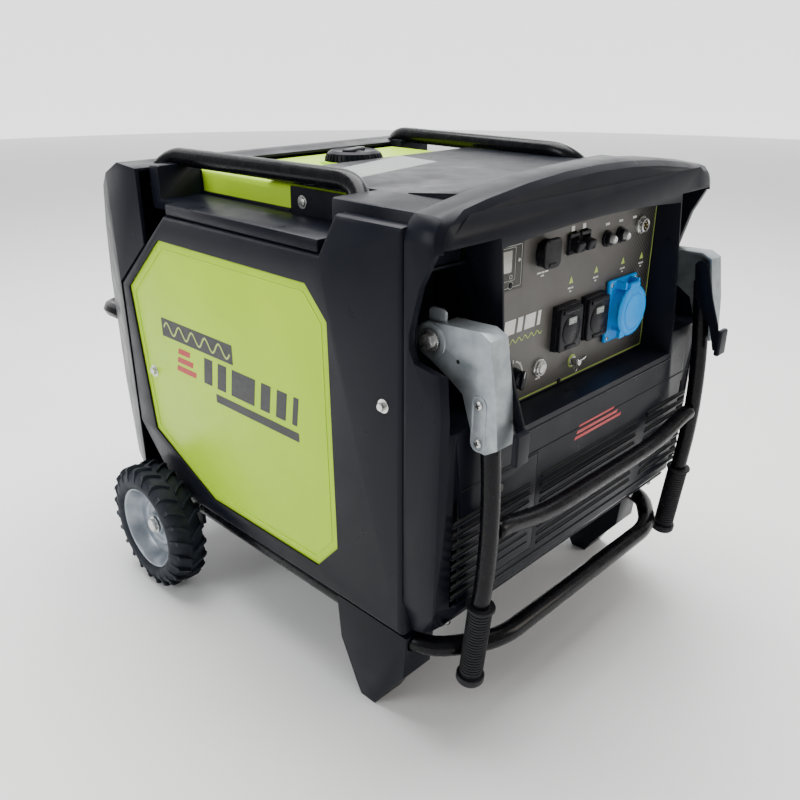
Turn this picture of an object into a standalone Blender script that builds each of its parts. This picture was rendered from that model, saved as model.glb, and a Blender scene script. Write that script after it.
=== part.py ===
"""Wheeled inverter generator: a plastic-cased petrol set with a fold-down pull handle.

Metres, +Z up. The control panel faces -Y, the rear cover +Y, and the origin is on the ground
below the middle of the object. Each node is one separate piece of the machine.
"""

import math

import bmesh
import bpy
from mathutils import Matrix, Vector

# ---------------------------------------------------------------- driving sizes
CLEAR = 0.0003            # gap kept between pieces that touch
RUNNING = 0.0008          # gap around pieces that turn or slide

CASE_WIDTH = 0.580        # over the two side frames
CASE_DEPTH = 0.720        # front seam to the back of the rear cover
CASE_HEIGHT = 0.503       # underside of the side frames to the deck
GROUND_TO_CASE = 0.152
FRONT_SEAM = -0.345       # Y of the seam behind the front cover
WALL = 0.003              # moulded wall

SIDE_FRAME_DEPTH = 0.020
SHOULDER_DROP = 0.060     # deck down to the top edge of the side frames
REAR_COVER_DEPTH = 0.125
REAR_TAPER = 0.045        # by which each side of the rear cover draws in towards its back
VISOR_REAR = 0.262        # how far in front of the origin the hump behind the front cover ends
COVER_DEPTH = 0.060       # front seam to the front face
ARCH_RISE = 0.026         # crown of the front cover above the deck

PANEL_WIDTH = 0.376       # control panel
PANEL_HEIGHT = 0.213
PANEL_DROP = 0.035        # deck down to the top of the control panel
PANEL_SETBACK = 0.045     # front face back to the control panel
PANEL_THICKNESS = 0.003
PANEL_ARCH = 0.008        # rise of the panel's top edge in the middle

TUBE_RADIUS = 0.0125      # base tube, bumper and lift bars
ARM_RADIUS = 0.011
ARM_SPACING = CASE_WIDTH - 0.1036    # between the two arm axes
GRIP_LENGTH = 0.116
GRIP_RADIUS = 0.0135
HANDLE_REACH = 0.462      # lever tips in front of the origin
BUMPER_REACH = 0.087      # rear bumper behind the rear cover

WHEEL_RADIUS = 0.1015
WHEEL_WIDTH = 0.0565
WHEEL_Y = 0.170
WHEEL_TRACK_GAP = 0.0035  # side frame to tyre
AXLE_RADIUS = 0.008

FOOT_WIDTH = 0.050
FOOT_LENGTH = 0.128
FOOT_TOE = 0.046

TANK_WIDTH = 0.400
TANK_FRONT = -0.170
TANK_DEPTH = 0.115
CAP_RADIUS = 0.044
CAP_Y = 0.040

# ---------------------------------------------------------------- places that follow
HALF = CASE_WIDTH / 2
CASE_BOTTOM = GROUND_TO_CASE
DECK = CASE_BOTTOM + CASE_HEIGHT
SHOULDER = DECK - SHOULDER_DROP
CASE_REAR = FRONT_SEAM + CASE_DEPTH
REAR_SEAM = CASE_REAR - REAR_COVER_DEPTH
TANK_REAR = REAR_SEAM - 0.090
HOOD_FRONT = TANK_REAR + 0.006
FACE = FRONT_SEAM - COVER_DEPTH
INNER_HALF = HALF - SIDE_FRAME_DEPTH

CHIN_BOTTOM = CASE_BOTTOM - 0.002
CHIN_TOP = CHIN_BOTTOM + 0.052

PANEL_TOP = DECK - PANEL_DROP
PANEL_BOTTOM = PANEL_TOP - PANEL_HEIGHT
PANEL_FACE = FACE + PANEL_SETBACK
PANEL_BACK = PANEL_FACE + PANEL_THICKNESS

TRAY_THICKNESS = 0.012
TRAY_TOP = CASE_BOTTOM - CLEAR
TRAY_BOTTOM = TRAY_TOP - TRAY_THICKNESS
BASE_TUBE_Z = TRAY_BOTTOM - TUBE_RADIUS - 0.001
BASE_TUBE_X = INNER_HALF - 0.008
BASE_TUBE_FRONT = FACE - 0.007

PIVOT_Y = FACE + 0.054
PIVOT_Z = DECK - 0.134
PIVOT_BOLT_RADIUS = 0.005
PLATE = 0.003
ARM_X = ARM_SPACING / 2
BRACKET_IN = ARM_X + ARM_RADIUS + CLEAR
BRACKET_OUT = BRACKET_IN + PLATE
BRACKET_FLANGE_X = ARM_X - ARM_RADIUS - 0.002

TANK_TOP = DECK - 0.010
TANK_BOTTOM = TANK_TOP - TANK_DEPTH

DOOR_LOW = (-0.212, CASE_BOTTOM + 0.074)    # service cover, opposite corners
DOOR_HIGH = (-0.118, CASE_BOTTOM + 0.208)
EXHAUST_X = -0.130
EXHAUST_Z = CASE_BOTTOM + 0.168
ENGINE_Y = 0.085          # middle of the crankcase

# ---------------------------------------------------------------- places on the panel
ROW_TOP = PANEL_TOP - 0.037
ROW_MID = PANEL_TOP - 0.136
ROW_LOW = PANEL_TOP - 0.178
ACROSS = PANEL_WIDTH / 0.376
DISPLAY = (0.038 - PANEL_WIDTH / 2, PANEL_TOP - 0.040)
BUTTON_OFFSETS = (-0.018, -0.001, 0.015)
DC_OUTLET = (-0.071 * ACROSS, ROW_TOP + 0.002)
BREAKERS = ((-0.014, ROW_TOP + 0.004), (0.010, ROW_TOP + 0.004))
RESETS = ((0.064 * ACROSS, ROW_TOP - 0.002), (0.096 * ACROSS, ROW_TOP - 0.002))
HOUSEHOLD = ((-0.019 * ACROSS, ROW_MID + 0.001), (0.043 * ACROSS, ROW_MID + 0.001))
INDUSTRIAL = (HOUSEHOLD[1][0] + 0.067, ROW_MID - 0.003)
KNOB = (-0.118 * ACROSS, ROW_LOW + 0.002)
START = (-0.066 * ACROSS, ROW_LOW)
GROUND = (0.008, ROW_LOW - 0.011)
TOGGLE_TILT = 12          # degrees that a breaker lever droops at rest

BLACK = ((0.012, 0.014, 0.020), 0.45, 0.0)
GLOSS_BLACK = ((0.010, 0.010, 0.012), 0.25, 0.0)
GREEN = ((0.43, 0.60, 0.09), 0.35, 0.0)
ZINC = ((0.42, 0.45, 0.46), 0.42, 0.9)
STEEL = ((0.62, 0.62, 0.60), 0.30, 1.0)
RUBBER = ((0.018, 0.020, 0.026), 0.75, 0.0)
RIM = ((0.50, 0.52, 0.54), 0.38, 0.9)
BLUE = ((0.02, 0.30, 0.75), 0.32, 0.0)
GREY = ((0.10, 0.10, 0.095), 0.40, 0.0)
ENGINE = ((0.30, 0.30, 0.30), 0.55, 0.8)
CHROME = ((0.75, 0.75, 0.75), 0.15, 1.0)


# ---------------------------------------------------------------- modelling helpers
def clear_scene():
    for obj in list(bpy.data.objects):
        bpy.data.objects.remove(obj, do_unlink=True)


def collection(name):
    made = bpy.data.collections.new(name)
    bpy.context.scene.collection.children.link(made)
    return made


def paint(obj, finish):
    colour, roughness, metallic = finish
    made = bpy.data.materials.new(obj.name + "_finish")
    made.use_nodes = True
    shader = made.node_tree.nodes["Principled BSDF"]
    shader.inputs["Base Color"].default_value = (*colour, 1.0)
    shader.inputs["Roughness"].default_value = roughness
    shader.inputs["Metallic"].default_value = metallic
    obj.data.materials.append(made)


def smooth(mesh, angle=35):
    mesh.shade_smooth()
    mesh.set_sharp_from_angle(angle=math.radians(angle))


def piece(name, mesh, finish):
    """A part of the machine: it goes in the object's collection with its own finish."""
    obj = bpy.data.objects.new(name, mesh)
    PARTS.objects.link(obj)
    smooth(mesh)
    paint(obj, finish)
    return obj


def cutter(name, mesh):
    obj = bpy.data.objects.new(name, mesh)
    CUTTERS.objects.link(obj)
    obj.hide_render = True
    obj.display_type = "WIRE"
    return obj


def boolean(obj, tool, operation="DIFFERENCE"):
    modifier = obj.modifiers.new(tool.name, "BOOLEAN")
    modifier.operation = operation
    modifier.solver = "EXACT"
    modifier.object = tool
    return obj


def mesh_of(name, bm):
    bmesh.ops.recalc_face_normals(bm, faces=bm.faces)
    mesh = bpy.data.meshes.new(name)
    bm.to_mesh(mesh)
    bm.free()
    return mesh


def box(name, low, high, bevel=0.0, segments=2):
    """A box between two corners, its edges rounded by bevel."""
    bm = bmesh.new()
    bmesh.ops.create_cube(bm, size=1.0)
    low, high = Vector(low), Vector(high)
    for vertex in bm.verts:
        vertex.co = Vector(
            low[i] + (vertex.co[i] + 0.5) * (high[i] - low[i]) for i in range(3)
        )
    if bevel:
        bmesh.ops.bevel(
            bm, geom=bm.edges[:], offset=bevel, segments=segments, profile=0.5,
            affect="EDGES",
        )
    return mesh_of(name, bm)


AXES = {
    # columns are where a local point's x, y and z go
    "X": Matrix(((0, 0, 1, 0), (1, 0, 0, 0), (0, 1, 0, 0), (0, 0, 0, 1))),
    "-Y": Matrix(((1, 0, 0, 0), (0, 0, -1, 0), (0, 1, 0, 0), (0, 0, 0, 1))),
    "Z": Matrix.Identity(4),
}


def mesh_of_curve(name, curve):
    """The closed mesh that a curve makes, with its loose caps welded on."""
    guide = bpy.data.objects.new(name + "_curve", curve)
    PARTS.objects.link(guide)
    bpy.context.view_layer.update()
    graph = bpy.context.evaluated_depsgraph_get()
    mesh = bpy.data.meshes.new_from_object(guide.evaluated_get(graph))
    bpy.data.objects.remove(guide, do_unlink=True)
    bm = bmesh.new()
    bm.from_mesh(mesh)
    bmesh.ops.remove_doubles(bm, verts=bm.verts, dist=0.000005)
    bpy.data.meshes.remove(mesh)
    return mesh_of(name, bm)


def prism(name, outlines, axis, low, high, bevel=0.0):
    """Flat outlines, the first solid and the others holes in it, swept from low to high.

    On axis X the outline holds (y, z), on -Y it holds (x, z) and low and high are -y,
    on Z it holds (x, y). bevel rounds the rim of the high end.
    """
    curve = bpy.data.curves.new(name, "CURVE")
    curve.dimensions = "2D"
    curve.fill_mode = "BOTH"
    curve.extrude = (high - low) / 2
    for outline in outlines:
        spline = curve.splines.new("POLY")
        spline.points.add(len(outline) - 1)
        for point, (u, v) in zip(spline.points, outline):
            point.co = (u, v, 0.0, 1.0)
        spline.use_cyclic_u = True
    mesh = mesh_of_curve(name, curve)
    if bevel:
        bm = bmesh.new()
        bm.from_mesh(mesh)
        top = (high - low) / 2
        rim = [
            edge for edge in bm.edges
            if all(abs(v.co.z - top) < 1e-5 for v in edge.verts)
            and len(edge.link_faces) == 2
            and any(abs(face.normal.z) < 0.5 for face in edge.link_faces)
        ]
        bmesh.ops.bevel(
            bm, geom=rim, offset=bevel, segments=2, profile=0.5, affect="EDGES"
        )
        bm.to_mesh(mesh)
        bm.free()
    mesh.transform(AXES[axis] @ Matrix.Translation((0, 0, (high + low) / 2)))
    return mesh


def inset(outline, distance):
    """The outline moved inwards by a distance, for a convex outline in either direction."""
    turn = sum(
        a[0] * b[1] - b[0] * a[1]
        for a, b in zip(outline, outline[1:] + outline[:1])
    )
    sign = 1 if turn > 0 else -1
    count = len(outline)
    moved = []
    for i in range(count):
        before, here, after = (
            Vector(outline[i - 1]), Vector(outline[i]), Vector(outline[(i + 1) % count])
        )
        first = (here - before).normalized()
        second = (after - here).normalized()
        normal_a = Vector((-first.y, first.x)) * sign
        normal_b = Vector((-second.y, second.x)) * sign
        reach = distance / (1 + normal_a.dot(normal_b))
        moved.append(tuple(here + (normal_a + normal_b) * reach))
    return moved


def arc(centre, radius, start, end, steps):
    """Points on an arc, its angles in degrees."""
    return [
        (
            centre[0] + radius * math.cos(math.radians(start + (end - start) * i / steps)),
            centre[1] + radius * math.sin(math.radians(start + (end - start) * i / steps)),
        )
        for i in range(steps + 1)
    ]


def rounded(points, radius, steps=4):
    """A path through points with its inner corners turned into arcs of the bend radius."""
    path = [Vector(points[0])]
    for before, here, after in zip(points, points[1:], points[2:]):
        before, here, after = Vector(before), Vector(here), Vector(after)
        first = (before - here).normalized()
        second = (after - here).normalized()
        half = first.angle(second) / 2
        reach = min(
            radius / math.tan(half), (before - here).length * 0.49,
            (after - here).length * 0.49,
        )
        bend = reach * math.tan(half)
        centre = here + (first + second).normalized() * (bend / math.sin(half))
        start = (here + first * reach - centre).normalized()
        end = (here + second * reach - centre).normalized()
        path += [centre + start.slerp(end, i / steps) * bend for i in range(steps + 1)]
    path.append(Vector(points[-1]))
    return path


def tube(name, points, radius, bend=0.03, sides=2):
    """A bent tube with flat closed ends."""
    curve = bpy.data.curves.new(name, "CURVE")
    curve.dimensions = "3D"
    curve.bevel_depth = radius
    curve.bevel_resolution = sides
    curve.use_fill_caps = True
    path = rounded(points, bend) if len(points) > 2 else [Vector(p) for p in points]
    spline = curve.splines.new("POLY")
    spline.points.add(len(path) - 1)
    for point, place in zip(spline.points, path):
        point.co = (*place, 1.0)
    return mesh_of_curve(name, curve)


def facing(direction):
    """Turns local +Z to a direction."""
    return Vector((0, 0, 1)).rotation_difference(Vector(direction)).to_matrix().to_4x4()


def rod(name, centre, direction, radius, length, sides=16, top_radius=None):
    """A cylinder, cone or (with few sides) a hex, about a centre."""
    bm = bmesh.new()
    bmesh.ops.create_cone(
        bm, cap_ends=True, segments=sides, radius1=radius,
        radius2=radius if top_radius is None else top_radius, depth=length,
    )
    mesh = mesh_of(name, bm)
    mesh.transform(Matrix.Translation(centre) @ facing(direction))
    return mesh


def turned(name, profile, place, direction, finish, steps=28):
    """A turned piece: (radius, height) down its outer side, heights along the direction."""
    mesh = bpy.data.meshes.new(name)
    points = [(radius, 0.0, height) for radius, height in profile]
    closed_ring = min(radius for radius, _ in profile) > 0
    edges = [(i, i + 1) for i in range(len(points) - 1)]
    if closed_ring:
        edges.append((len(points) - 1, 0))
    mesh.from_pydata(points, edges, [])
    obj = bpy.data.objects.new(name, mesh)
    PARTS.objects.link(obj)
    screw = obj.modifiers.new("turn", "SCREW")
    screw.steps = steps
    screw.render_steps = steps
    screw.use_merge_vertices = True
    screw.merge_threshold = 0.00001
    screw.use_smooth_shade = True
    obj.matrix_world = Matrix.Translation(place) @ facing(direction)
    paint(obj, finish)
    return obj


def pivot_at(obj, place):
    """Moves a piece's origin to its joint without moving the piece."""
    place = Vector(place)
    obj.data.transform(Matrix.Translation(-place))
    obj.location = place
    return obj


def empty(name, place):
    obj = bpy.data.objects.new(name, None)
    PARTS.objects.link(obj)
    obj.location = place
    obj.empty_display_size = 0.03
    return obj


def hang(parent, *objects):
    """Parents pieces to an empty without moving them."""
    bpy.context.view_layer.update()
    for obj in objects:
        obj.parent = parent
        obj.matrix_parent_inverse = Matrix.Translation(-Vector(parent.location))


def sided(side):
    return "left" if side < 0 else "right"


def along_x(side, near, far):
    """Low and high X of a stretch from near to far out from the middle, on one side."""
    return (near, far) if side > 0 else (-far, -near)


# ---------------------------------------------------------------- chassis
def base_tray():
    reach = INNER_HALF - 0.004
    front, rear = FRONT_SEAM + 0.012, REAR_SEAM + 0.055
    tray = piece(
        "base_tray",
        box("base_tray", (-reach, front, TRAY_BOTTOM), (reach, rear, TRAY_TOP), 0.002, 1),
        GLOSS_BLACK,
    )
    for side in (-1, 1):
        low, high = along_x(side, reach - 0.012, reach - 0.006)
        lug = box(
            f"{sided(side)}_axle_lug",
            (low, WHEEL_Y - 0.030, WHEEL_RADIUS - 0.018),
            (high, WHEEL_Y + 0.030, TRAY_BOTTOM + 0.004),
        )
        boolean(tray, cutter(f"{sided(side)}_axle_lug", lug), "UNION")
    hole = rod(
        "axle_hole", (0, WHEEL_Y, WHEEL_RADIUS), (1, 0, 0), AXLE_RADIUS + CLEAR,
        CASE_WIDTH, 20,
    )
    boolean(tray, cutter("axle_hole", hole))


def base_frame_tube():
    rear = WHEEL_Y - 0.045
    corner = ARM_X - 0.053
    points = [
        (-BASE_TUBE_X, rear, BASE_TUBE_Z),
        (-BASE_TUBE_X, FRONT_SEAM - 0.014, BASE_TUBE_Z),
        (-corner, BASE_TUBE_FRONT, BASE_TUBE_Z),
        (corner, BASE_TUBE_FRONT, BASE_TUBE_Z),
        (BASE_TUBE_X, FRONT_SEAM - 0.014, BASE_TUBE_Z),
        (BASE_TUBE_X, rear, BASE_TUBE_Z),
    ]
    mesh = tube("base_frame_tube", points, TUBE_RADIUS, 0.030)
    piece("base_frame_tube", mesh, GLOSS_BLACK)


def foot(side):
    """A pressed wedge leg with the base tube passing through its head."""
    name = sided(side) + "_foot"
    rear = FRONT_SEAM + 0.003 + FOOT_LENGTH
    front = rear - FOOT_LENGTH
    middle = rear - FOOT_LENGTH * 0.44
    outline = [
        (front, TRAY_BOTTOM - CLEAR), (front + 0.006, 0.075),
        (middle - FOOT_TOE / 2, 0.018), (middle - FOOT_TOE / 2 + 0.010, 0.0),
        (middle + FOOT_TOE / 2 - 0.010, 0.0), (middle + FOOT_TOE / 2, 0.018),
        (rear - 0.006, 0.075), (rear, TRAY_BOTTOM - CLEAR),
    ]
    outer = INNER_HALF + 0.008
    low, high = along_x(side, outer - FOOT_WIDTH, outer)
    obj = piece(name, prism(name, [outline], "X", low, high), BLACK)
    way = rod(
        name + "_tube_way", (side * BASE_TUBE_X, FRONT_SEAM, BASE_TUBE_Z), (0, 1, 0),
        TUBE_RADIUS + 2 * CLEAR, CASE_DEPTH, 16,
    )
    boolean(obj, cutter(name + "_tube_way", way))
    return obj


def axle():
    half = HALF + WHEEL_TRACK_GAP + WHEEL_WIDTH - 0.014
    head = 0.007
    profile = [
        (0.0, half), (0.0105, half), (0.0105, half - head), (AXLE_RADIUS, half - head),
        (AXLE_RADIUS, head - half), (0.0105, head - half), (0.0105, -half), (0.0, -half),
    ]
    turned("axle", profile, (0, WHEEL_Y, WHEEL_RADIUS), (1, 0, 0), STEEL, 20)


def wheel(side):
    """Tyre and dished rim, both turned about the axle; their heights point outwards."""
    inner = HALF + WHEEL_TRACK_GAP
    centre = Vector((side * (inner + WHEEL_WIDTH / 2), WHEEL_Y, WHEEL_RADIUS))
    half = WHEEL_WIDTH / 2
    seat = WHEEL_RADIUS * 0.66
    tyre = [
        (seat, half - 0.004), (seat + 0.006, half), (WHEEL_RADIUS - 0.010, half),
        (WHEEL_RADIUS, half - 0.010), (WHEEL_RADIUS, 0.010 - half),
        (WHEEL_RADIUS - 0.010, -half), (seat + 0.006, -half), (seat, 0.004 - half),
    ]
    lip = half - 0.005
    bore = AXLE_RADIUS + RUNNING
    edge = seat - CLEAR
    rim = [
        (edge - 0.004, lip), (edge, lip), (edge, -lip), (edge - 0.004, -lip),
        (edge - 0.010, 0.0), (0.024, -0.006), (0.018, -half + 0.006),
        (bore, -half + 0.006), (bore, half - 0.022), (0.018, half - 0.022),
        (0.026, 0.001), (edge - 0.010, 0.008),
    ]
    name = sided(side)
    out = (side, 0, 0)
    tyre_obj = turned(name + "_tyre", tyre, centre, out, RUBBER, 40)
    rim_obj = turned(name + "_rim", rim, centre, out, RIM, 32)
    return tyre_obj, rim_obj


def rear_bumper():
    reach = CASE_REAR + BUMPER_REACH - TUBE_RADIUS
    z = DECK - 0.271
    half = 0.230
    start = CASE_REAR + CLEAR
    points = [(-half, start, z), (-half, reach, z), (half, reach, z), (half, start, z)]
    mesh = tube("rear_bumper", points, TUBE_RADIUS, 0.030)
    piece("rear_bumper", mesh, GLOSS_BLACK)


# ---------------------------------------------------------------- casing
def side_outline():
    """The side frame in (y, z): it rises to the deck in front and slopes down behind."""
    front = FRONT_SEAM + CLEAR
    top = DECK - 0.012
    return [
        (front, CASE_BOTTOM), (front, top), (FRONT_SEAM + 0.100, top),
        (FRONT_SEAM + 0.130, SHOULDER), (REAR_SEAM - 0.143, SHOULDER),
        (REAR_SEAM, SHOULDER - 0.117), (REAR_SEAM, CASE_BOTTOM + 0.095),
        (REAR_SEAM - 0.090, CASE_BOTTOM),
    ]


def opening_outline():
    """The eight-sided opening that the green panel fills."""
    front, rear = FRONT_SEAM + 0.113, REAR_SEAM - 0.023
    top, bottom = SHOULDER - 0.036, CASE_BOTTOM + 0.028
    return [
        (front, bottom + 0.045), (front + 0.005, top - 0.038), (front + 0.041, top),
        (rear - 0.099, top), (rear, top - 0.084), (rear - 0.027, bottom + 0.069),
        (rear - 0.178, bottom), (front + 0.041, bottom),
    ]


def side_frame(side):
    name = sided(side) + "_side_frame"
    outline = side_outline()
    solid = prism(name, [outline], "X", 0.0, SIDE_FRAME_DEPTH, 0.006)
    hollow_outline = [
        (FRONT_SEAM + 0.100 + WALL, CASE_BOTTOM + WALL),
        (FRONT_SEAM + 0.100 + WALL, SHOULDER - WALL),
        (REAR_SEAM - 0.143, SHOULDER - WALL),
        (REAR_SEAM - WALL, SHOULDER - 0.119), (REAR_SEAM - WALL, CASE_BOTTOM + 0.097),
        (REAR_SEAM - 0.091, CASE_BOTTOM + WALL),
    ]
    hollow = prism(name + "_hollow", [hollow_outline], "X", -0.01, SIDE_FRAME_DEPTH - WALL)
    window = prism(name + "_window", [opening_outline()], "X", 0.0, 2 * SIDE_FRAME_DEPTH)
    front = [
        (FRONT_SEAM + CLEAR + WALL, CASE_BOTTOM + WALL),
        (FRONT_SEAM + CLEAR + WALL, DECK - 0.012 - WALL),
        (FRONT_SEAM + 0.099, DECK - 0.012 - WALL), (FRONT_SEAM + 0.099, CASE_BOTTOM + WALL),
    ]
    pillar = prism(name + "_pillar", [front], "X", -0.01, SIDE_FRAME_DEPTH - WALL)
    for mesh in (solid, hollow, window, pillar):
        mesh.transform(Matrix.Translation((INNER_HALF, 0, 0)))
        mesh_to_side(mesh, side)
    obj = piece(name, solid, BLACK)
    boolean(obj, cutter(name + "_hollow", hollow))
    boolean(obj, cutter(name + "_pillar", pillar))
    boolean(obj, cutter(name + "_window", window))


def mesh_to_side(mesh, side):
    """Mirrors a mesh made for +X to the given side, with its faces still pointing out."""
    if side < 0:
        mesh.transform(Matrix.Diagonal((-1, 1, 1, 1)))
        mesh.flip_normals()


def side_panel(side):
    """The green panel: a raised field in the opening, and a flange behind the frame."""
    name = sided(side) + "_side_panel"
    field = prism(
        name, [inset(opening_outline(), RUNNING)], "X",
        HALF - WALL - 0.002, HALF - 0.0025, 0.002,
    )
    flange = prism(
        name + "_flange", [inset(opening_outline(), -0.008)], "X",
        HALF - WALL - CLEAR - 0.0025, HALF - WALL - CLEAR,
    )
    for mesh in (field, flange):
        mesh_to_side(mesh, side)
    obj = piece(name, field, GREEN)
    boolean(obj, cutter(name + "_flange", flange), "UNION")


def crown(half, base, top):
    """The arched top of the front cover in (x, z), right to left, between two round corners."""
    corner = 0.030
    rise = top - base
    span = half - corner
    points = arc((half - corner, base), corner, 0, 60, 3)
    ends = points[-1]
    steps = 8
    for i in range(1, steps):
        x = ends[0] * (1 - 2 * i / steps)
        z = ends[1] + (base + rise - ends[1]) * (1 - (x / ends[0]) ** 2)
        points.append((x, z))
    points += [(-x, z) for x, z in reversed(arc((span, base), corner, 0, 60, 3))]
    return points


def front_profile(z):
    """How far forward the front cover stands at a height: a chin, a face, a leaning top."""
    heights = [CHIN_BOTTOM, CHIN_TOP, PIVOT_Z - 0.071, DECK + ARCH_RISE]
    fronts = [FACE + 0.040, FACE + 0.003, FACE, FACE + 0.018]
    for (za, ya), (zb, yb) in zip(
        zip(heights, fronts), list(zip(heights, fronts))[1:]
    ):
        if z <= zb:
            return ya + (yb - ya) * max(0.0, z - za) / (zb - za)
    return fronts[-1]


def front_cover():
    half = HALF - 0.003
    bottom = CHIN_BOTTOM
    outline = [(-half + 0.018, bottom), (half - 0.018, bottom), (half, CHIN_TOP)]
    outline += crown(half, DECK - 0.026, DECK + ARCH_RISE) + [(-half, CHIN_TOP)]
    back = -FRONT_SEAM
    mesh = prism("front_cover", [outline], "-Y", back, back + COVER_DEPTH)
    bm = bmesh.new()
    bm.from_mesh(mesh)
    beside_corner = half - 0.047
    for place, across in (
        ((0, 0, CHIN_TOP), (0, 0, 1)), ((0, 0, PIVOT_Z - 0.071), (0, 0, 1)),
        ((beside_corner, 0, 0), (1, 0, 0)), ((-beside_corner, 0, 0), (1, 0, 0)),
    ):
        bmesh.ops.bisect_plane(
            bm, geom=bm.verts[:] + bm.edges[:] + bm.faces[:],
            plane_co=place, plane_no=across,
        )
    bmesh.ops.remove_doubles(bm, verts=bm.verts, dist=0.00001)
    front = [v for v in bm.verts if v.co.y < FRONT_SEAM - COVER_DEPTH / 2]
    for vertex in front:
        vertex.co.y = front_profile(vertex.co.z)
    rim = [
        edge for edge in bm.edges
        if all(v in front for v in edge.verts)
        and edge.calc_face_angle(0) > math.radians(50)
    ]
    bmesh.ops.bevel(bm, geom=rim, offset=0.018, segments=3, profile=0.5, affect="EDGES")
    cover = piece("front_cover", mesh_of("front_cover", bm), BLACK)

    room = 0.002
    recess_half = PANEL_WIDTH / 2 + room
    recess = prism(
        "panel_recess",
        [panel_outline(-room)], "-Y", -PANEL_BACK - 0.0005, COVER_DEPTH - FRONT_SEAM + 0.02,
    )
    boolean(cover, cutter("panel_recess", recess))
    behind = box(
        "panel_back", (-recess_half + 0.0015, PANEL_BACK - 0.004, PANEL_BOTTOM + 0.010),
        (recess_half - 0.0015, FRONT_SEAM + 0.02, PANEL_TOP - PANEL_ARCH - 0.002),
    )
    boolean(cover, cutter("panel_back", behind))
    for side in (-1, 1):
        bracket_pocket(cover, side, recess_half)
    floor = PANEL_BOTTOM - 0.010
    behind_face, behind_seam = FACE + 0.008, FRONT_SEAM + 0.02
    hollow = [
        (behind_face, floor), (behind_face, CHIN_TOP + 0.008), (FACE + 0.046, bottom + 0.014),
        (behind_seam, bottom + 0.014), (behind_seam, floor),
    ]
    lower = prism("lower_hollow", [hollow], "X", -half + 0.026, half - 0.026)
    boolean(cover, cutter("lower_hollow", lower))
    low, high = DOOR_LOW, DOOR_HIGH
    hatch = box(
        "hatch_hole", (low[0] + 0.004, FACE - 0.02, low[1] + 0.004),
        (high[0] - 0.004, FACE + 0.02, high[1] - 0.004),
    )
    boolean(cover, cutter("hatch_hole", hatch))
    seat = box(
        "hatch_seat", (low[0] - RUNNING, FACE - 0.02, low[1] - RUNNING),
        (high[0] + RUNNING, FACE + 0.0045, high[1] + RUNNING),
    )
    boolean(cover, cutter("hatch_seat", seat))


def bracket_pocket(cover, side, recess_half):
    """The pocket that the handle's bracket folds into: a tub behind it, and a side notch."""
    name = sided(side)
    pocket_floor, tub_back = PIVOT_Z - 0.085, FRONT_SEAM + 0.049
    low, high = along_x(side, recess_half, INNER_HALF - 0.0005)
    tub = box(
        name + "_tub", (low, FRONT_SEAM - 0.004, pocket_floor - WALL),
        (high, tub_back, SHOULDER - CLEAR),
    )
    boolean(cover, cutter(name + "_tub", tub), "UNION")
    low, high = along_x(side, recess_half + WALL, INNER_HALF - 0.0005 - WALL)
    inside = box(
        name + "_tub_inside", (low, FRONT_SEAM - 0.010, pocket_floor),
        (high, tub_back - WALL, SHOULDER - CLEAR - WALL),
    )
    boolean(cover, cutter(name + "_tub_inside", inside))
    seam = FRONT_SEAM + CLEAR
    low, high = along_x(side, recess_half + WALL, HALF - 0.012)
    pocket = box(
        name + "_pocket", (low, FACE - 0.02, pocket_floor), (high, seam, PIVOT_Z + 0.104)
    )
    boolean(cover, cutter(name + "_pocket", pocket))
    low, high = along_x(side, recess_half + WALL, HALF + 0.02)
    y, z = PIVOT_Y, PIVOT_Z
    gap = [
        (FACE - 0.02, z + 0.100), (y - 0.033, z + 0.100), (y - 0.015, z + 0.066),
        (y - 0.001, z + 0.016), (y - 0.001, z - 0.001), (y - 0.009, z - 0.015),
        (y - 0.056, z - 0.023), (FACE - 0.02, z - 0.023),
    ]
    notch = prism(name + "_notch", [gap], "X", low, high)
    boolean(cover, cutter(name + "_notch", notch))


def panel_outline(distance=0.0):
    """The control panel in (x, z), arched along its top, inset by a distance."""
    half = PANEL_WIDTH / 2 - distance
    top, bottom = PANEL_TOP - distance, PANEL_BOTTOM + distance
    steps = 6
    ends = top - PANEL_ARCH
    points = [(-half, bottom), (half, bottom)]
    for i in range(steps + 1):
        x = half * (1 - 2 * i / steps)
        points.append((x, ends + (top - ends) * (1 - (x / half) ** 2)))
    return points


def control_panel(holes):
    panel = piece(
        "control_panel",
        prism("control_panel", [panel_outline(CLEAR)], "-Y", -PANEL_BACK, -PANEL_FACE),
        GREY,
    )
    for name, x, z, half_x, half_z in holes:
        hole = box(
            name + "_hole", (x - half_x, PANEL_FACE - 0.01, z - half_z),
            (x + half_x, PANEL_BACK + 0.01, z + half_z),
        )
        boolean(panel, cutter(name + "_hole", hole))


def service_cover():
    """The lift-off cover in the lower front, with its quarter-turn latch."""
    cover = piece(
        "service_cover",
        box(
            "service_cover", (DOOR_LOW[0], FACE + 0.0010, DOOR_LOW[1]),
            (DOOR_HIGH[0], FACE + 0.0042, DOOR_HIGH[1]), 0.0008, 1,
        ),
        BLACK,
    )
    x, z = DOOR_LOW[0] + 0.022, DOOR_HIGH[1] - 0.020
    hole = rod("latch_hole", (x, FACE, z), (0, 1, 0), 0.0065 + RUNNING, 0.03, 16)
    boolean(cover, cutter("latch_hole", hole))
    latch = [
        (0.0, 0.0), (0.0065, 0.0), (0.0065, -0.010), (0.0, -0.010),
    ]
    turned("service_latch", latch, (x, FACE, z), (0, -1, 0), GREY, 16)


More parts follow.
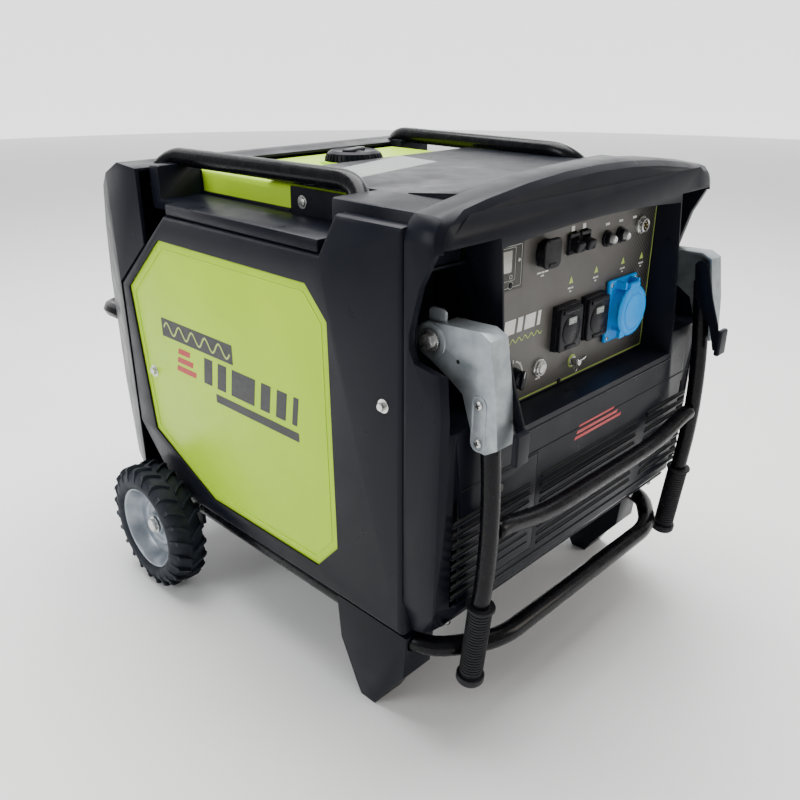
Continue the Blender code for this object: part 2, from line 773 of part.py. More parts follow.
def visor_mesh():
    """The low arched hump that carries the front cover's crown on, sloping down to the deck."""
    arch = crown(HALF - 0.015, DECK - 0.028, DECK + ARCH_RISE - 0.003)
    under = DECK - 0.012
    outline = [(x, z) for x, z in arch if z > DECK + 0.002]
    reach = outline[0][0]
    outline = [(reach, under), *outline, (-reach, under)]
    mesh = prism("visor", [outline], "-Y", VISOR_REAR, -FRONT_SEAM - 3 * CLEAR)
    for vertex in mesh.vertices:
        if vertex.co.y > -VISOR_REAR - CLEAR and vertex.co.z > DECK:
            vertex.co.z = DECK + (vertex.co.z - DECK) * 0.1
    return mesh


def top_cover():
    inner = INNER_HALF - CLEAR
    front, rear = FRONT_SEAM + CLEAR, HOOD_FRONT - CLEAR
    bottom = SHOULDER + CLEAR
    floor = SHOULDER + 0.016
    cover = piece(
        "top_cover", box("top_cover", (-inner, front, bottom), (inner, rear, DECK), 0.004),
        BLACK,
    )
    ledge_front, ledge_rear = FRONT_SEAM + 0.133, REAR_SEAM - 0.145
    ledge = box(
        "ledge", (-HALF + 0.004, ledge_front, bottom), (HALF - 0.004, ledge_rear, floor),
        0.003,
    )
    boolean(cover, cutter("ledge", ledge), "UNION")
    boolean(cover, cutter("visor", visor_mesh()), "UNION")
    tank_half = TANK_WIDTH / 2 + RUNNING
    for side in (-1, 1):
        name = sided(side)
        low, high = along_x(side, tank_half, HALF + 0.01)
        recess = box(
            name + "_recess", (low, FRONT_SEAM + 0.125, floor),
            (high, REAR_SEAM - 0.110, DECK + 0.02),
        )
        boolean(cover, cutter(name + "_recess", recess))
    window = box(
        "tank_window", (-tank_half, -0.012, bottom - 0.02), (tank_half, rear + 0.02, DECK + 0.02)
    )
    boolean(cover, cutter("tank_window", window))
    under = box(
        "deck_hollow", (-tank_half, FRONT_SEAM - 0.02, bottom - 0.02),
        (tank_half, 0.0, TANK_TOP + RUNNING),
    )
    boolean(cover, cutter("deck_hollow", under))
    cut_for_lift_bars(cover)


def drawn_in(mesh):
    """The rear cover's sides drawn in towards the back, from the side frames' rear edge on."""
    bm = bmesh.new()
    bm.from_mesh(mesh)
    bmesh.ops.bisect_plane(
        bm, geom=bm.verts[:] + bm.edges[:] + bm.faces[:],
        plane_co=(0, REAR_SEAM + 0.002, 0), plane_no=(0, 1, 0),
    )
    bmesh.ops.remove_doubles(bm, verts=bm.verts, dist=0.00001)
    length = CASE_REAR - REAR_SEAM - 0.002
    for vertex in bm.verts:
        share = max(0.0, vertex.co.y - REAR_SEAM - 0.002) / length
        vertex.co.x -= math.copysign(REAR_TAPER * share, vertex.co.x)
    return mesh_of(mesh.name, bm)


def rear_cover():
    """The hood behind: walls all round, open to the front, with the exhaust hole."""
    front = REAR_SEAM + CLEAR
    hood = HOOD_FRONT
    slope = 0.117 / 0.143
    seam_z = SHOULDER - (hood - (REAR_SEAM - 0.143)) * slope + 2 * CLEAR
    tuck = 0.045
    outline = [
        (front, CASE_BOTTOM), (front, SHOULDER - 0.117 + CLEAR), (hood, seam_z),
        (hood, DECK - 0.004), (hood + 0.050, DECK), (CASE_REAR - 0.070, DECK - 0.042),
        (CASE_REAR - 0.028, DECK - 0.110), (CASE_REAR, DECK - 0.200),
        (CASE_REAR, CASE_BOTTOM + 0.120), (CASE_REAR - tuck, CASE_BOTTOM),
    ]
    mesh = drawn_in(prism("rear_cover", [outline], "X", -HALF, HALF))
    cover = piece("rear_cover", mesh, BLACK)
    wall = 2 * WALL
    inner = [
        (front - 0.10, CASE_BOTTOM + wall), (front - 0.10, SHOULDER - 0.117),
        (hood - 0.05, seam_z), (hood - 0.05, DECK - 0.004 - wall),
        (hood + 0.048, DECK - wall), (CASE_REAR - 0.072, DECK - 0.046 - wall / 2),
        (CASE_REAR - 0.028 - wall, DECK - 0.113), (CASE_REAR - wall, DECK - 0.201),
        (CASE_REAR - wall, CASE_BOTTOM + 0.121),
        (CASE_REAR - tuck - wall / 2, CASE_BOTTOM + wall),
    ]
    hollow = drawn_in(prism("rear_hollow", [inner], "X", -HALF + wall, HALF - wall))
    boolean(cover, cutter("rear_hollow", hollow))
    exhaust = rod(
        "exhaust_hole", (EXHAUST_X, CASE_REAR, EXHAUST_Z), (0, 1, 0), 0.030, 0.06, 24
    )
    boolean(cover, cutter("exhaust_hole", exhaust))
    cut_for_lift_bars(cover)


def fuel_tank():
    half = TANK_WIDTH / 2
    tank = piece(
        "fuel_tank",
        box("fuel_tank", (-half, TANK_FRONT, TANK_BOTTOM), (half, TANK_REAR, TANK_TOP), 0.010),
        GREEN,
    )
    inside = box(
        "tank_inside", (-half + WALL, TANK_FRONT + WALL, TANK_BOTTOM + WALL),
        (half - WALL, TANK_REAR - WALL, TANK_TOP - WALL), 0.008,
    )
    boolean(tank, cutter("tank_inside", inside))
    neck = rod("filler_hole", (0, CAP_Y, TANK_TOP), (0, 0, 1), 0.024, 0.03, 20)
    boolean(tank, cutter("filler_hole", neck))


def fuel_cap():
    bottom = CLEAR
    profile = [
        (0.0, 0.021), (CAP_RADIUS - 0.012, 0.021), (CAP_RADIUS - 0.003, 0.018),
        (CAP_RADIUS, 0.013), (CAP_RADIUS, 0.003), (CAP_RADIUS - 0.002, bottom),
        (0.023, bottom), (0.023, -0.010), (0.0, -0.010),
    ]
    turned("fuel_cap", profile, (0, CAP_Y, TANK_TOP), (0, 0, 1), BLACK, 32)


def lift_bar_points(side):
    """The hand rail's axis, from inside the front shoulder to inside the rear one."""
    z = DECK + 0.020 - TUBE_RADIUS
    x_front, x_rear = TANK_WIDTH / 2 + 0.008, TANK_WIDTH / 2 + 0.026
    return [
        (side * (x_front + 0.028), FRONT_SEAM + 0.110, DECK - 0.035),
        (side * x_front, FRONT_SEAM + 0.150, z),
        (side * x_rear, HOOD_FRONT + 0.012, z),
        (side * (x_rear + 0.036), HOOD_FRONT + 0.060, DECK - 0.055),
    ]


def lift_bar(side):
    """A hand rail over the side recess, its ends let into the front and rear shoulders."""
    name = sided(side) + "_lift_bar"
    mesh = tube(name, lift_bar_points(side), TUBE_RADIUS, 0.035)
    return piece(name, mesh, GLOSS_BLACK)


def cut_for_lift_bars(cover):
    for side in (-1, 1):
        name = f"{cover.name}_{sided(side)}_bar_way"
        way = tube(name, lift_bar_points(side), TUBE_RADIUS + RUNNING, 0.035)
        boolean(cover, cutter(name, way))


# ---------------------------------------------------------------- pull handle
def bracket(side):
    """The pressed bracket: a side plate with a round pivot end, and two inward flanges."""
    name = sided(side) + "_handle_bracket"
    y, z = PIVOT_Y, PIVOT_Z
    round_end = 0.021
    outline = arc((y, z), round_end, -85, 75, 6)
    outline += [
        (y - 0.065, z + 0.024), (y - 0.0795, z + 0.017), (y - 0.089, z - 0.040),
        (y - 0.0935, z - 0.097), (y - 0.078, z - 0.107), (y - 0.062, z - 0.106),
        (y - 0.057, z - 0.084), (y - 0.045, z - 0.048), (y - 0.025, z - 0.035),
    ]
    low, high = along_x(side, BRACKET_IN, BRACKET_OUT)
    obj = piece(name, prism(name, [outline], "X", low, high), ZINC)
    low, high = along_x(side, BRACKET_FLANGE_X, BRACKET_OUT - 0.0005)
    flange_outline = [
        (y - 0.012, z + 0.0218), (y - 0.065, z + 0.024), (y - 0.0795, z + 0.017),
        (y - 0.089, z - 0.040), (y - 0.0935, z - 0.097), (y - 0.0905, z - 0.097),
        (y - 0.086, z - 0.040), (y - 0.077, z + 0.0145), (y - 0.064, z + 0.021),
        (y - 0.012, z + 0.0188),
    ]
    flange = prism(name + "_flange", [flange_outline], "X", low, high)
    boolean(obj, cutter(name + "_flange", flange), "UNION")
    bore = rod(
        name + "_bore", (side * BRACKET_IN, y, z), (1, 0, 0), PIVOT_BOLT_RADIUS + RUNNING,
        0.02, 16,
    )
    boolean(obj, cutter(name + "_bore", bore))
    return obj


def pivot_bolt(side):
    """A shoulder bolt from the panel housing out through the bracket, with a flanged head."""
    name = sided(side) + "_pivot_bolt"
    start = PANEL_WIDTH / 2 + 0.002 + WALL + CLEAR
    length = BRACKET_OUT - start
    head = 0.0125
    profile = [
        (0.0, length + 0.009), (0.0085, length + 0.009), (0.0085, length + 0.003),
        (head, length + 0.003), (head, length + RUNNING),
        (PIVOT_BOLT_RADIUS, length + RUNNING), (PIVOT_BOLT_RADIUS, 0.028),
        (0.011, 0.028), (0.011, 0.0), (0.0, 0.0),
    ]
    place = (side * start, PIVOT_Y, PIVOT_Z)
    return turned(name, profile, place, (side, 0, 0), STEEL, 20)


def arm_points(side):
    """The arm's axis from inside the bracket down to the bottom of the grip."""
    x = side * ARM_X
    return [
        Vector((x, PIVOT_Y - 0.064, PIVOT_Z - 0.016)),
        Vector((x, PIVOT_Y - 0.0775, PIVOT_Z - 0.130)),
        Vector((x, PIVOT_Y - 0.0785, PIVOT_Z - 0.232)),
        Vector((x, PIVOT_Y - 0.059, PIVOT_Z - 0.423)),
    ]


def arm(side):
    """The arm tube; it stops inside the grip, whose closed end covers it."""
    name = sided(side) + "_handle_arm"
    points = arm_points(side)
    down = (points[3] - points[2]).normalized()
    points[3] = points[3] - down * 0.006
    return piece(name, tube(name, points, ARM_RADIUS, 0.06), GLOSS_BLACK)


def grip(side):
    """A moulded rubber grip with a flange at each end, pushed over the end of the arm."""
    name = sided(side) + "_grip"
    points = arm_points(side)
    down = (points[3] - points[2]).normalized()
    bore = ARM_RADIUS + CLEAR
    closed = 0.004
    length = GRIP_LENGTH
    profile = [
        (0.0, closed), (bore, closed), (bore, length), (0.0175, length),
        (0.0175, length - 0.006), (GRIP_RADIUS, length - 0.009), (GRIP_RADIUS, 0.012),
        (0.016, 0.008), (0.016, 0.0), (0.0, 0.0),
    ]
    return turned(name, profile, points[3], -down, RUBBER, 20)


def crossbar():
    """The bar between the arms, dipping forward of them in the middle."""
    height = PIVOT_Z - 0.210
    y = arm_points(-1)[2].y
    reach = ARM_X - ARM_RADIUS - CLEAR
    straight = reach - 0.016
    points = [
        (-reach, y, height), (-straight, y, height), (-0.132, y, height - 0.018),
        (0.132, y, height - 0.018), (straight, y, height), (reach, y, height),
    ]
    return piece("handle_crossbar", tube("handle_crossbar", points, ARM_RADIUS, 0.05), GLOSS_BLACK)


def lock_lever(side):
    """A sprung lever beside the bracket, with a ribbed thumb pad below it in front."""
    name = sided(side) + "_lock_lever"
    y, z = PIVOT_Y - 0.068, PIVOT_Z + 0.004
    outer = BRACKET_FLANGE_X - 0.0006
    outline = arc((y, z), 0.010, 20, 160, 4) + [
        (y - 0.022, z - 0.040), (y - 0.036, z - 0.078), (y - 0.041, z - 0.110),
        (y - 0.033, z - 0.112), (y - 0.024, z - 0.080), (y + 0.004, z - 0.040),
    ]
    low, high = along_x(side, outer - PLATE, outer)
    obj = piece(name, prism(name, [outline], "X", low, high), BLACK)
    low, high = along_x(side, outer - 0.0045, ARM_X + 0.004)
    front = -HANDLE_REACH
    pad = box(
        name + "_pad", (low, front, z - 0.119), (high, front + 0.008, z - 0.082), 0.002, 1
    )
    boolean(obj, cutter(name + "_pad", pad), "UNION")
    return obj, (side * (outer - PLATE / 2), y, z)


def pull_handle():
    """Brackets, arms, grips and crossbar turn together about the pivot bolts."""
    fold = empty("handle_fold_pivot", (0, PIVOT_Y, PIVOT_Z))
    moving = [crossbar()]
    for side in (-1, 1):
        pivot_bolt(side)
        lever, place = lock_lever(side)
        swing = empty(sided(side) + "_lever_pivot", place)
        moving += [bracket(side), arm(side), swing]
        hang(swing, lever)
        grip_obj = grip(side)
        hang(fold, grip_obj)
    hang(fold, *moving)


# ---------------------------------------------------------------- control panel pieces
def at_panel(forward):
    return PANEL_FACE - forward


def panel_box(name, x, z, half_x, half_z, back, front, finish, bevel=0.0015):
    """A box on the panel: back and front are how far they stand in front of its face."""
    return piece(
        name,
        box(
            name, (x - half_x, at_panel(front), z - half_z),
            (x + half_x, at_panel(back), z + half_z), bevel, 2 if bevel > 0.001 else 1,
        ),
        finish,
    )


def display_module():
    x, z = DISPLAY
    module = panel_box(
        "display_module", x, z, 0.038, 0.028, -0.018, 0.0022, GREY, 0.0012
    )
    for i, offset in enumerate(BUTTON_OFFSETS):
        bx, bz = x + offset, z - 0.021
        hole = rod(f"button_{i + 1}_hole", (bx, at_panel(0), bz), (0, 1, 0), 0.0040, 0.02, 12)
        boolean(module, cutter(f"button_{i + 1}_hole", hole))
        profile = [(0.0, 0.0045), (0.0034, 0.0045), (0.0034, -0.0035), (0.0, -0.0035)]
        turned(f"display_button_{i + 1}", profile, (bx, at_panel(0), bz), (0, -1, 0), BLACK, 12)


def dc_outlet():
    x, z = DC_OUTLET
    body = [
        (0.0, -0.027), (0.0108, -0.027), (0.0108, 0.010), (0.0150, 0.010), (0.0170, 0.006),
        (0.0170, CLEAR), (0.0125, CLEAR), (0.0125, -0.030), (0.0, -0.030),
    ]
    turned("dc_outlet", body, (x, at_panel(0), z), (0, -1, 0), BLACK, 24)
    cover = panel_box(
        "dc_outlet_cover", x, z + 0.001, 0.0165, 0.0175, 0.0105, 0.0135, RUBBER, 0.0012
    )
    pivot_at(cover, (x, at_panel(0.0120), z + 0.0185))


def breaker_toggle(index):
    """A rocking breaker lever, in its own slot of the panel."""
    x, z = BREAKERS[index]
    name = ("main", "outlet")[index] + "_breaker_toggle"
    obj = panel_box(name, x, z, 0.0080, 0.0060, -0.0080, 0.0150, BLACK, 0.0015)
    pivot_at(obj, (x, at_panel(-0.0040), z))
    obj.rotation_euler.x = math.radians(TOGGLE_TILT)


def reset_button(index):
    """A push-to-reset breaker button that slides in the panel."""
    x, z = RESETS[index]
    name = ("left", "right")[index] + "_reset_button"
    profile = [
        (0.0, 0.014), (0.0045, 0.014), (0.0050, 0.0130), (0.0050, -0.012), (0.0, -0.012),
    ]
    turned(name, profile, (x, at_panel(0), z), (0, -1, 0), GREY, 16)


def household_outlet(index):
    """A Schuko outlet: a cup with a round well, under a sprung lid hinged along its top."""
    x, z = HOUSEHOLD[index]
    name = ("left", "right")[index] + "_household_outlet"
    outlet = panel_box(name, x, z, 0.0245, 0.0285, -0.032, 0.008, BLACK)
    well = rod(name + "_well", (x, at_panel(0), z - 0.001), (0, 1, 0), 0.0195, 0.036, 24)
    well.transform(Matrix.Translation((0, -0.002, 0)))
    boolean(outlet, cutter(name + "_well", well))
    lid_name = name.replace("outlet", "lid")
    lid = panel_box(lid_name, x, z - 0.001, 0.0245, 0.0275, 0.0083, 0.0145, BLACK, 0.003)
    pivot_at(lid, (x, at_panel(0.0115), z + 0.0285))


def industrial_outlet():
    """The blue three-pin outlet: a square flange, a short round nose and a sprung lid."""
    x, z = INDUSTRIAL
    outlet = panel_box("industrial_outlet", x, z, 0.0350, 0.0425, CLEAR, 0.006, BLUE, 0.002)
    nose = rod("nose", (x, at_panel(-0.0075), z), (0, -1, 0), 0.0310, 0.053, 28)
    boolean(outlet, cutter("industrial_nose", nose), "UNION")
    well = rod("well", (x, at_panel(0.004), z), (0, 1, 0), 0.0250, 0.060, 28)
    boolean(outlet, cutter("industrial_well", well))
    lid = [
        (0.0, 0.0275), (0.026, 0.0275), (0.0335, 0.0245), (0.0345, 0.0205), (0.0345, 0.0193),
        (0.0, 0.0193),
    ]
    obj = turned("industrial_lid", lid, (x, at_panel(0), z), (0, -1, 0), BLUE, 28)
    hinge = empty("industrial_lid_hinge", (x, at_panel(0.0193), z + 0.0365))
    hang(hinge, obj)


def selector_knob():
    x, z = KNOB
    profile = [
        (0.0, 0.0170), (0.0100, 0.0170), (0.0115, 0.0155), (0.0130, 0.0020),
        (0.0130, CLEAR), (0.0040, CLEAR), (0.0040, -0.012), (0.0, -0.012),
    ]
    turned("selector_knob", profile, (x, at_panel(0), z), (0, -1, 0), BLACK, 24)


def start_button():
    x, z = START
    button = [(0.0, 0.0085), (0.0060, 0.0085), (0.0072, 0.0070), (0.0072, -0.012), (0.0, -0.012)]
    turned("start_button", button, (x, at_panel(0), z), (0, -1, 0), BLACK, 20)


def ground_terminal():
    """A wing nut that turns on the earth stud."""
    x, z = GROUND
    body = rod("ground_wing_nut", (x, at_panel(0.005), z), (0, -1, 0), 0.0055, 0.009, 12)
    nut = piece("ground_wing_nut", body, STEEL)
    wings = box(
        "wings", (x - 0.0135, at_panel(0.0125), z - 0.0018),
        (x + 0.0135, at_panel(0.0050), z + 0.0018), 0.0008, 1,
    )
    boolean(nut, cutter("wings", wings), "UNION")


# ---------------------------------------------------------------- inside
def engine():
    block = piece(
        "engine_block",
        box(
            "engine_block", (-0.105, ENGINE_Y - 0.045, TRAY_TOP + CLEAR),
            (0.125, ENGINE_Y + 0.085, TRAY_TOP + 0.215), 0.012, 1,
        ),
        ENGINE,
    )
    lean = Vector((math.sin(math.radians(25)), 0, math.cos(math.radians(25))))
    barrel = rod(
        "cylinder", Vector((0.045, ENGINE_Y + 0.02, TRAY_TOP + 0.19)) + lean * 0.055, lean,
        0.056, 0.15, 20,
    )
    boolean(block, cutter("cylinder", barrel), "UNION")


def alternator():
    """The stator ring bolted to the block, and the shaft with the flywheel fan in it."""
    centre_z = TRAY_TOP + 0.125
    back = ENGINE_Y - 0.046
    stator = [
        (0.070, 0.060), (0.095, 0.060), (0.095, 0.0), (0.070, 0.0),
    ]
    turned("alternator_stator", stator, (0, back, centre_z), (0, -1, 0), ENGINE, 28)
    rotor = [
        (0.0, 0.110), (0.018, 0.110), (0.020, 0.094), (0.105, 0.088), (0.105, 0.066),
        (0.067, 0.066), (0.067, 0.006), (0.0, 0.006),
    ]
    turned("flywheel_fan_rotor", rotor, (0, back, centre_z), (0, -1, 0), STEEL, 28)


def inner_boxes():
    """Muffler, inverter module, battery: the large sealed pieces around the engine."""
    low_y = ENGINE_Y + 0.085 + 0.012
    muffler = piece(
        "muffler",
        box(
            "muffler", (-0.190, low_y, TRAY_TOP + 0.085),
            (0.120, CASE_REAR - 0.060, TRAY_TOP + 0.235), 0.030, 3,
        ),
        ENGINE,
    )
    pipe = rod(
        "tail_pipe", (EXHAUST_X, CASE_REAR - 0.055, EXHAUST_Z), (0, 1, 0), 0.016, 0.085, 16
    )
    boolean(muffler, cutter("tail_pipe", pipe), "UNION")
    front = PANEL_BACK + 0.067
    piece(
        "inverter_module",
        box(
            "inverter_module", (-0.245, front, TRAY_TOP + 0.020),
            (-0.125, ENGINE_Y - 0.065, TRAY_TOP + 0.300), 0.004, 1,
        ),
        ENGINE,
    )
    piece(
        "starter_battery",
        box(
            "starter_battery", (0.130, front, TRAY_TOP + CLEAR),
            (0.245, front + 0.085, TRAY_TOP + 0.145), 0.003, 1,
        ),
        GREY,
    )


def panel_holes():
    holes = [
        ("display", *DISPLAY, 0.0375 + RUNNING, 0.0275 + RUNNING),
        ("dc", *DC_OUTLET, 0.0130, 0.0130),
        ("industrial", *INDUSTRIAL, 0.0320, 0.0320),
        ("knob", *KNOB, 0.0045, 0.0045),
        ("start", *START, 0.0080, 0.0080),
    ]
    for index, place in enumerate(HOUSEHOLD):
        holes.append((f"household_{index + 1}", *place, 0.0250, 0.0290))
    for index, place in enumerate(RESETS):
        holes.append((f"reset_{index + 1}", *place, 0.0058, 0.0058))
    for index, place in enumerate(BREAKERS):
        holes.append((f"breaker_{index + 1}", *place, 0.0088, 0.0140))
    return holes


def build():
    base_tray()
    base_frame_tube()
    axle()
    rear_bumper()
    for side in (-1, 1):
        foot(side)
        wheel(side)
        side_frame(side)
        side_panel(side)
        lift_bar(side)
    front_cover()
    control_panel(panel_holes())
    service_cover()
    top_cover()
    rear_cover()
    fuel_tank()
    fuel_cap()
    pull_handle()
    display_module()
    dc_outlet()
    for index in (0, 1):
        breaker_toggle(index)
        reset_button(index)
        household_outlet(index)
    industrial_outlet()
    selector_knob()
    start_button()
    ground_terminal()
    engine()
    alternator()
    inner_boxes()


clear_scene()
PARTS = collection("inverter_generator")
CUTTERS = collection("cutters")
build()
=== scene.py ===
"""The look of a wheeled inverter generator, on its fixed frame.

Metres, +Z up. The control panel faces -Y. Each piece is made in its place in the frame and
rides on the body that carries it.
"""

import math

import bmesh
import bpy
from mathutils import Matrix, Vector


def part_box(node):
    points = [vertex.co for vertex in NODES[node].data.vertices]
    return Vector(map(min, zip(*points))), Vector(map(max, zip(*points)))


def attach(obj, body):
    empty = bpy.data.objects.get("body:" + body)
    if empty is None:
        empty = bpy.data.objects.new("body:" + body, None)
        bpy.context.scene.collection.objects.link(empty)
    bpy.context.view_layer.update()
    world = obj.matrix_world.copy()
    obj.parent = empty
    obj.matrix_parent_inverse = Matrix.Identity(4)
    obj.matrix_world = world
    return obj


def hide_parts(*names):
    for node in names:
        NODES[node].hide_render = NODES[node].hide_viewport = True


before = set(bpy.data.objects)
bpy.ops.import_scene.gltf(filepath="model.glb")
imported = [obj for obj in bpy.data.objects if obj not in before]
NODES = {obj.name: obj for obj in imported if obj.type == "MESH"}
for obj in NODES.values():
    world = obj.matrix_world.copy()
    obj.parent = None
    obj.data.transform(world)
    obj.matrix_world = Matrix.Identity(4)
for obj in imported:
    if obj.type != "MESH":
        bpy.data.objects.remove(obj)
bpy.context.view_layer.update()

# ---------------------------------------------------------------- sizes read from the frame
case_low, case_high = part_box("left_side_frame")
HALF = -case_low.x
CASE_BOTTOM = case_low.z
SHOULDER = case_high.z - 0.048
DECK = case_high.z + 0.012
face_low, face_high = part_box("front_cover")
FACE = face_low.y
FRONT_SEAM = FACE + 0.060
CROWN = face_high.z
CHIN_BOTTOM = face_low.z
CHIN_TOP = CHIN_BOTTOM + 0.052
panel_low, panel_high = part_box("control_panel")
PANEL_FACE = panel_low.y
PANEL_HALF = panel_high.x
PANEL_BOTTOM, PANEL_TOP = panel_low.z, panel_high.z
PIVOT = Vector((0, FACE + 0.054, DECK - 0.134))
REAR_SEAM = case_high.y
CASE_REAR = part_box("rear_cover")[1].y
TANK_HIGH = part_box("fuel_tank")[1]
CAP_LOW, CAP_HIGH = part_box("fuel_cap")
DOOR_LOW, DOOR_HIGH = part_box("service_cover")
TUBE = 0.0125
ARM = 0.011
ARM_X = 0.2382
BASE_Z = 0.1262
SIDES = ((-1, "left"), (1, "right"))


# ---------------------------------------------------------------- finishes
class Finish:
    """A material under construction: a Principled shader fed by the piece's own coordinates."""

    def __init__(self, name, roughness, metallic=0.0, coat=0.0, coat_roughness=0.1, specular=0.5):
        self.material = bpy.data.materials.new(name)
        self.material.use_nodes = True
        self.tree = self.material.node_tree
        self.shader = self.tree.nodes["Principled BSDF"]
        self.shader.inputs["Roughness"].default_value = roughness
        self.shader.inputs["Metallic"].default_value = metallic
        self.shader.inputs["Coat Weight"].default_value = coat
        self.shader.inputs["Coat Roughness"].default_value = coat_roughness
        self.shader.inputs["Specular IOR Level"].default_value = specular
        self.place = self.node("ShaderNodeTexCoord").outputs["Object"]
        self.bumped = None

    def node(self, kind, **settings):
        made = self.tree.nodes.new(kind)
        for key, value in settings.items():
            setattr(made, key, value)
        return made

    def link(self, source, target):
        self.tree.links.new(source, target)

    def noise(self, scale, detail=3.0, stretch=None):
        made = self.node("ShaderNodeTexNoise")
        made.inputs["Scale"].default_value = scale
        made.inputs["Detail"].default_value = detail
        where = self.place
        if stretch:
            mapping = self.node("ShaderNodeMapping")
            mapping.inputs["Scale"].default_value = stretch
            self.link(where, mapping.inputs["Vector"])
            where = mapping.outputs["Vector"]
        self.link(where, made.inputs["Vector"])
        return made.outputs["Fac"]

    def spread(self, value, low, high, start=0.3, end=0.7):
        made = self.node("ShaderNodeMapRange")
        for key, number in (
            ("From Min", start), ("From Max", end), ("To Min", low), ("To Max", high)
        ):
            made.inputs[key].default_value = number
        self.link(value, made.inputs["Value"])
        return made.outputs["Result"]

    def mix(self, factor, first, second, blend="MIX"):
        made = self.node("ShaderNodeMix", data_type="RGBA", blend_type=blend)
        self.link(factor, made.inputs[0])
        for socket, colour in ((made.inputs[6], first), (made.inputs[7], second)):
            if isinstance(colour, tuple):
                socket.default_value = (*colour, 1.0)
            else:
                self.link(colour, socket)
        return made.outputs[2]

    def colour(self, source):
        if isinstance(source, tuple):
            self.shader.inputs["Base Color"].default_value = (*source, 1.0)
        else:
            self.link(source, self.shader.inputs["Base Color"])
        return self

    def roughness(self, source):
        self.link(source, self.shader.inputs["Roughness"])
        return self

    def bump(self, height, distance, strength=1.0):
        made = self.node("ShaderNodeBump")
        made.inputs["Distance"].default_value = distance
        made.inputs["Strength"].default_value = strength
        self.link(height, made.inputs["Height"])
        if self.bumped:
            self.link(self.bumped, made.inputs["Normal"])
        self.bumped = made.outputs["Normal"]
        self.link(self.bumped, self.shader.inputs["Normal"])
        return self

    def dress(self, dark, light, cloud, rough=None, grain=None, full=False):
        """Colour clouded between two tones, with uneven roughness and a fine grain where given."""
        cloudy = self.noise(*cloud)
        self.colour(self.mix(self.spread(cloudy, 0.0, 1.0) if full else cloudy, dark, light))
        if rough:
            self.roughness(self.spread(self.noise(*rough[0]), *rough[1:]))
        if grain:
            self.bump(self.noise(*grain[0]), *grain[1:])
        return self


def moulded_plastic(name, dark, light, rough_low, rough_high, grain=0.00006):
    """Injection-moulded plastic with a fine spark-eroded grain."""
    made = Finish(name, (rough_low + rough_high) / 2, specular=0.11)
    made.dress(dark, light, (7.0,), ((28.0, 4.0), rough_low, rough_high), ((1400.0, 2.0), grain, 0.55), True)
    return made.bump(made.noise(9.0, 1.0), 0.0012, 0.12)


def painted_tube(name, colour, roughness):
    """Gloss powder coat with a little orange peel."""
    made = Finish(name, roughness, coat=0.05, coat_roughness=0.08, specular=0.14)
    bright = tuple(c * 1.9 for c in colour)
    return made.dress(
        colour, bright, (30.0,), ((60.0, 4.0), roughness, roughness + 0.14), ((260.0, 2.0), 0.00012, 0.35), True
    )


def plated(name, dark, light, low, high, spangle=70.0):
    """Zinc plate or bare steel, cloudy and finely scratched."""
    made = Finish(name, (low + high) / 2, metallic=0.85)
    scratches = (900.0, 2.0, (1.0, 1.0, 0.06))
    return made.dress(
        dark, light, (spangle, 5.0), ((spangle * 0.7, 4.0), low, high), (scratches, 0.00005, 0.4), True
    )


moulded_black = moulded_plastic(
    "moulded_black", (0.0040, 0.0052, 0.0098), (0.0085, 0.0092, 0.0140), 0.27, 0.40
)
bezel_black = moulded_plastic(
    "bezel_black", (0.0150, 0.0150, 0.0175), (0.0235, 0.0220, 0.0225), 0.36, 0.47
)
outlet_black = moulded_plastic(
    "outlet_black", (0.007, 0.008, 0.011), (0.012, 0.012, 0.015), 0.22, 0.34, 0.00003
)
# Near-black painted shade, laid as thin sheets where slots, holes, gaps and screw recesses hold only shade.
painted_shade = Finish("painted_shade", 0.9).dress((0.0015, 0.0015, 0.002), (0.004, 0.004, 0.005), (40.0,))
green_gloss = Finish("green_gloss", 0.3, specular=0.16).dress(
    (0.430, 0.700, 0.018), (0.500, 0.770, 0.030), (5.0,),
    ((35.0, 4.0), 0.30, 0.40), ((190.0, 2.0), 0.00010, 0.25), True,
)

tube_black = painted_tube("tube_black", (0.0022, 0.0022, 0.0032), 0.20)
zinc_plate = plated("zinc_plate", (0.25, 0.28, 0.30), (0.37, 0.40, 0.42), 0.32, 0.46)
zinc_plate.shader.inputs["Metallic"].default_value = 0.55
bolt_steel = plated("bolt_steel", (0.52, 0.52, 0.50), (0.70, 0.70, 0.68), 0.20, 0.34, 160.0)
brass_contact = plated("brass_contact", (0.55, 0.38, 0.12), (0.70, 0.50, 0.18), 0.25, 0.40)
rim_silver = plated("rim_silver", (0.20, 0.23, 0.27), (0.34, 0.37, 0.41), 0.28, 0.44, 40.0)
rim_silver.shader.inputs["Metallic"].default_value = 0.7

rubber = Finish("rubber", 0.6, specular=0.25).dress(
    (0.006, 0.006, 0.008), (0.013, 0.013, 0.016), (60.0,), ((90.0,), 0.48, 0.66), ((1100.0, 2.0), 0.00008, 0.6)
)

tyre_rubber = Finish("tyre_rubber", 0.7, specular=0.25)
dust = tyre_rubber.spread(tyre_rubber.noise(24.0, 6.0), 0.0, 0.55, 0.45, 0.75)
tyre_rubber.colour(tyre_rubber.mix(dust, (0.008, 0.011, 0.018), (0.034, 0.040, 0.052)))
tyre_rubber.roughness(tyre_rubber.spread(tyre_rubber.noise(70.0), 0.55, 0.78))
tyre_rubber.bump(tyre_rubber.noise(700.0, 3.0), 0.00015, 0.6)

socket_blue = Finish("socket_blue", 0.32, specular=0.14).dress(
    (0.002, 0.270, 0.830), (0.006, 0.370, 0.930), (12.0,), ((50.0,), 0.26, 0.38), ((900.0, 2.0), 0.00005, 0.4)
)

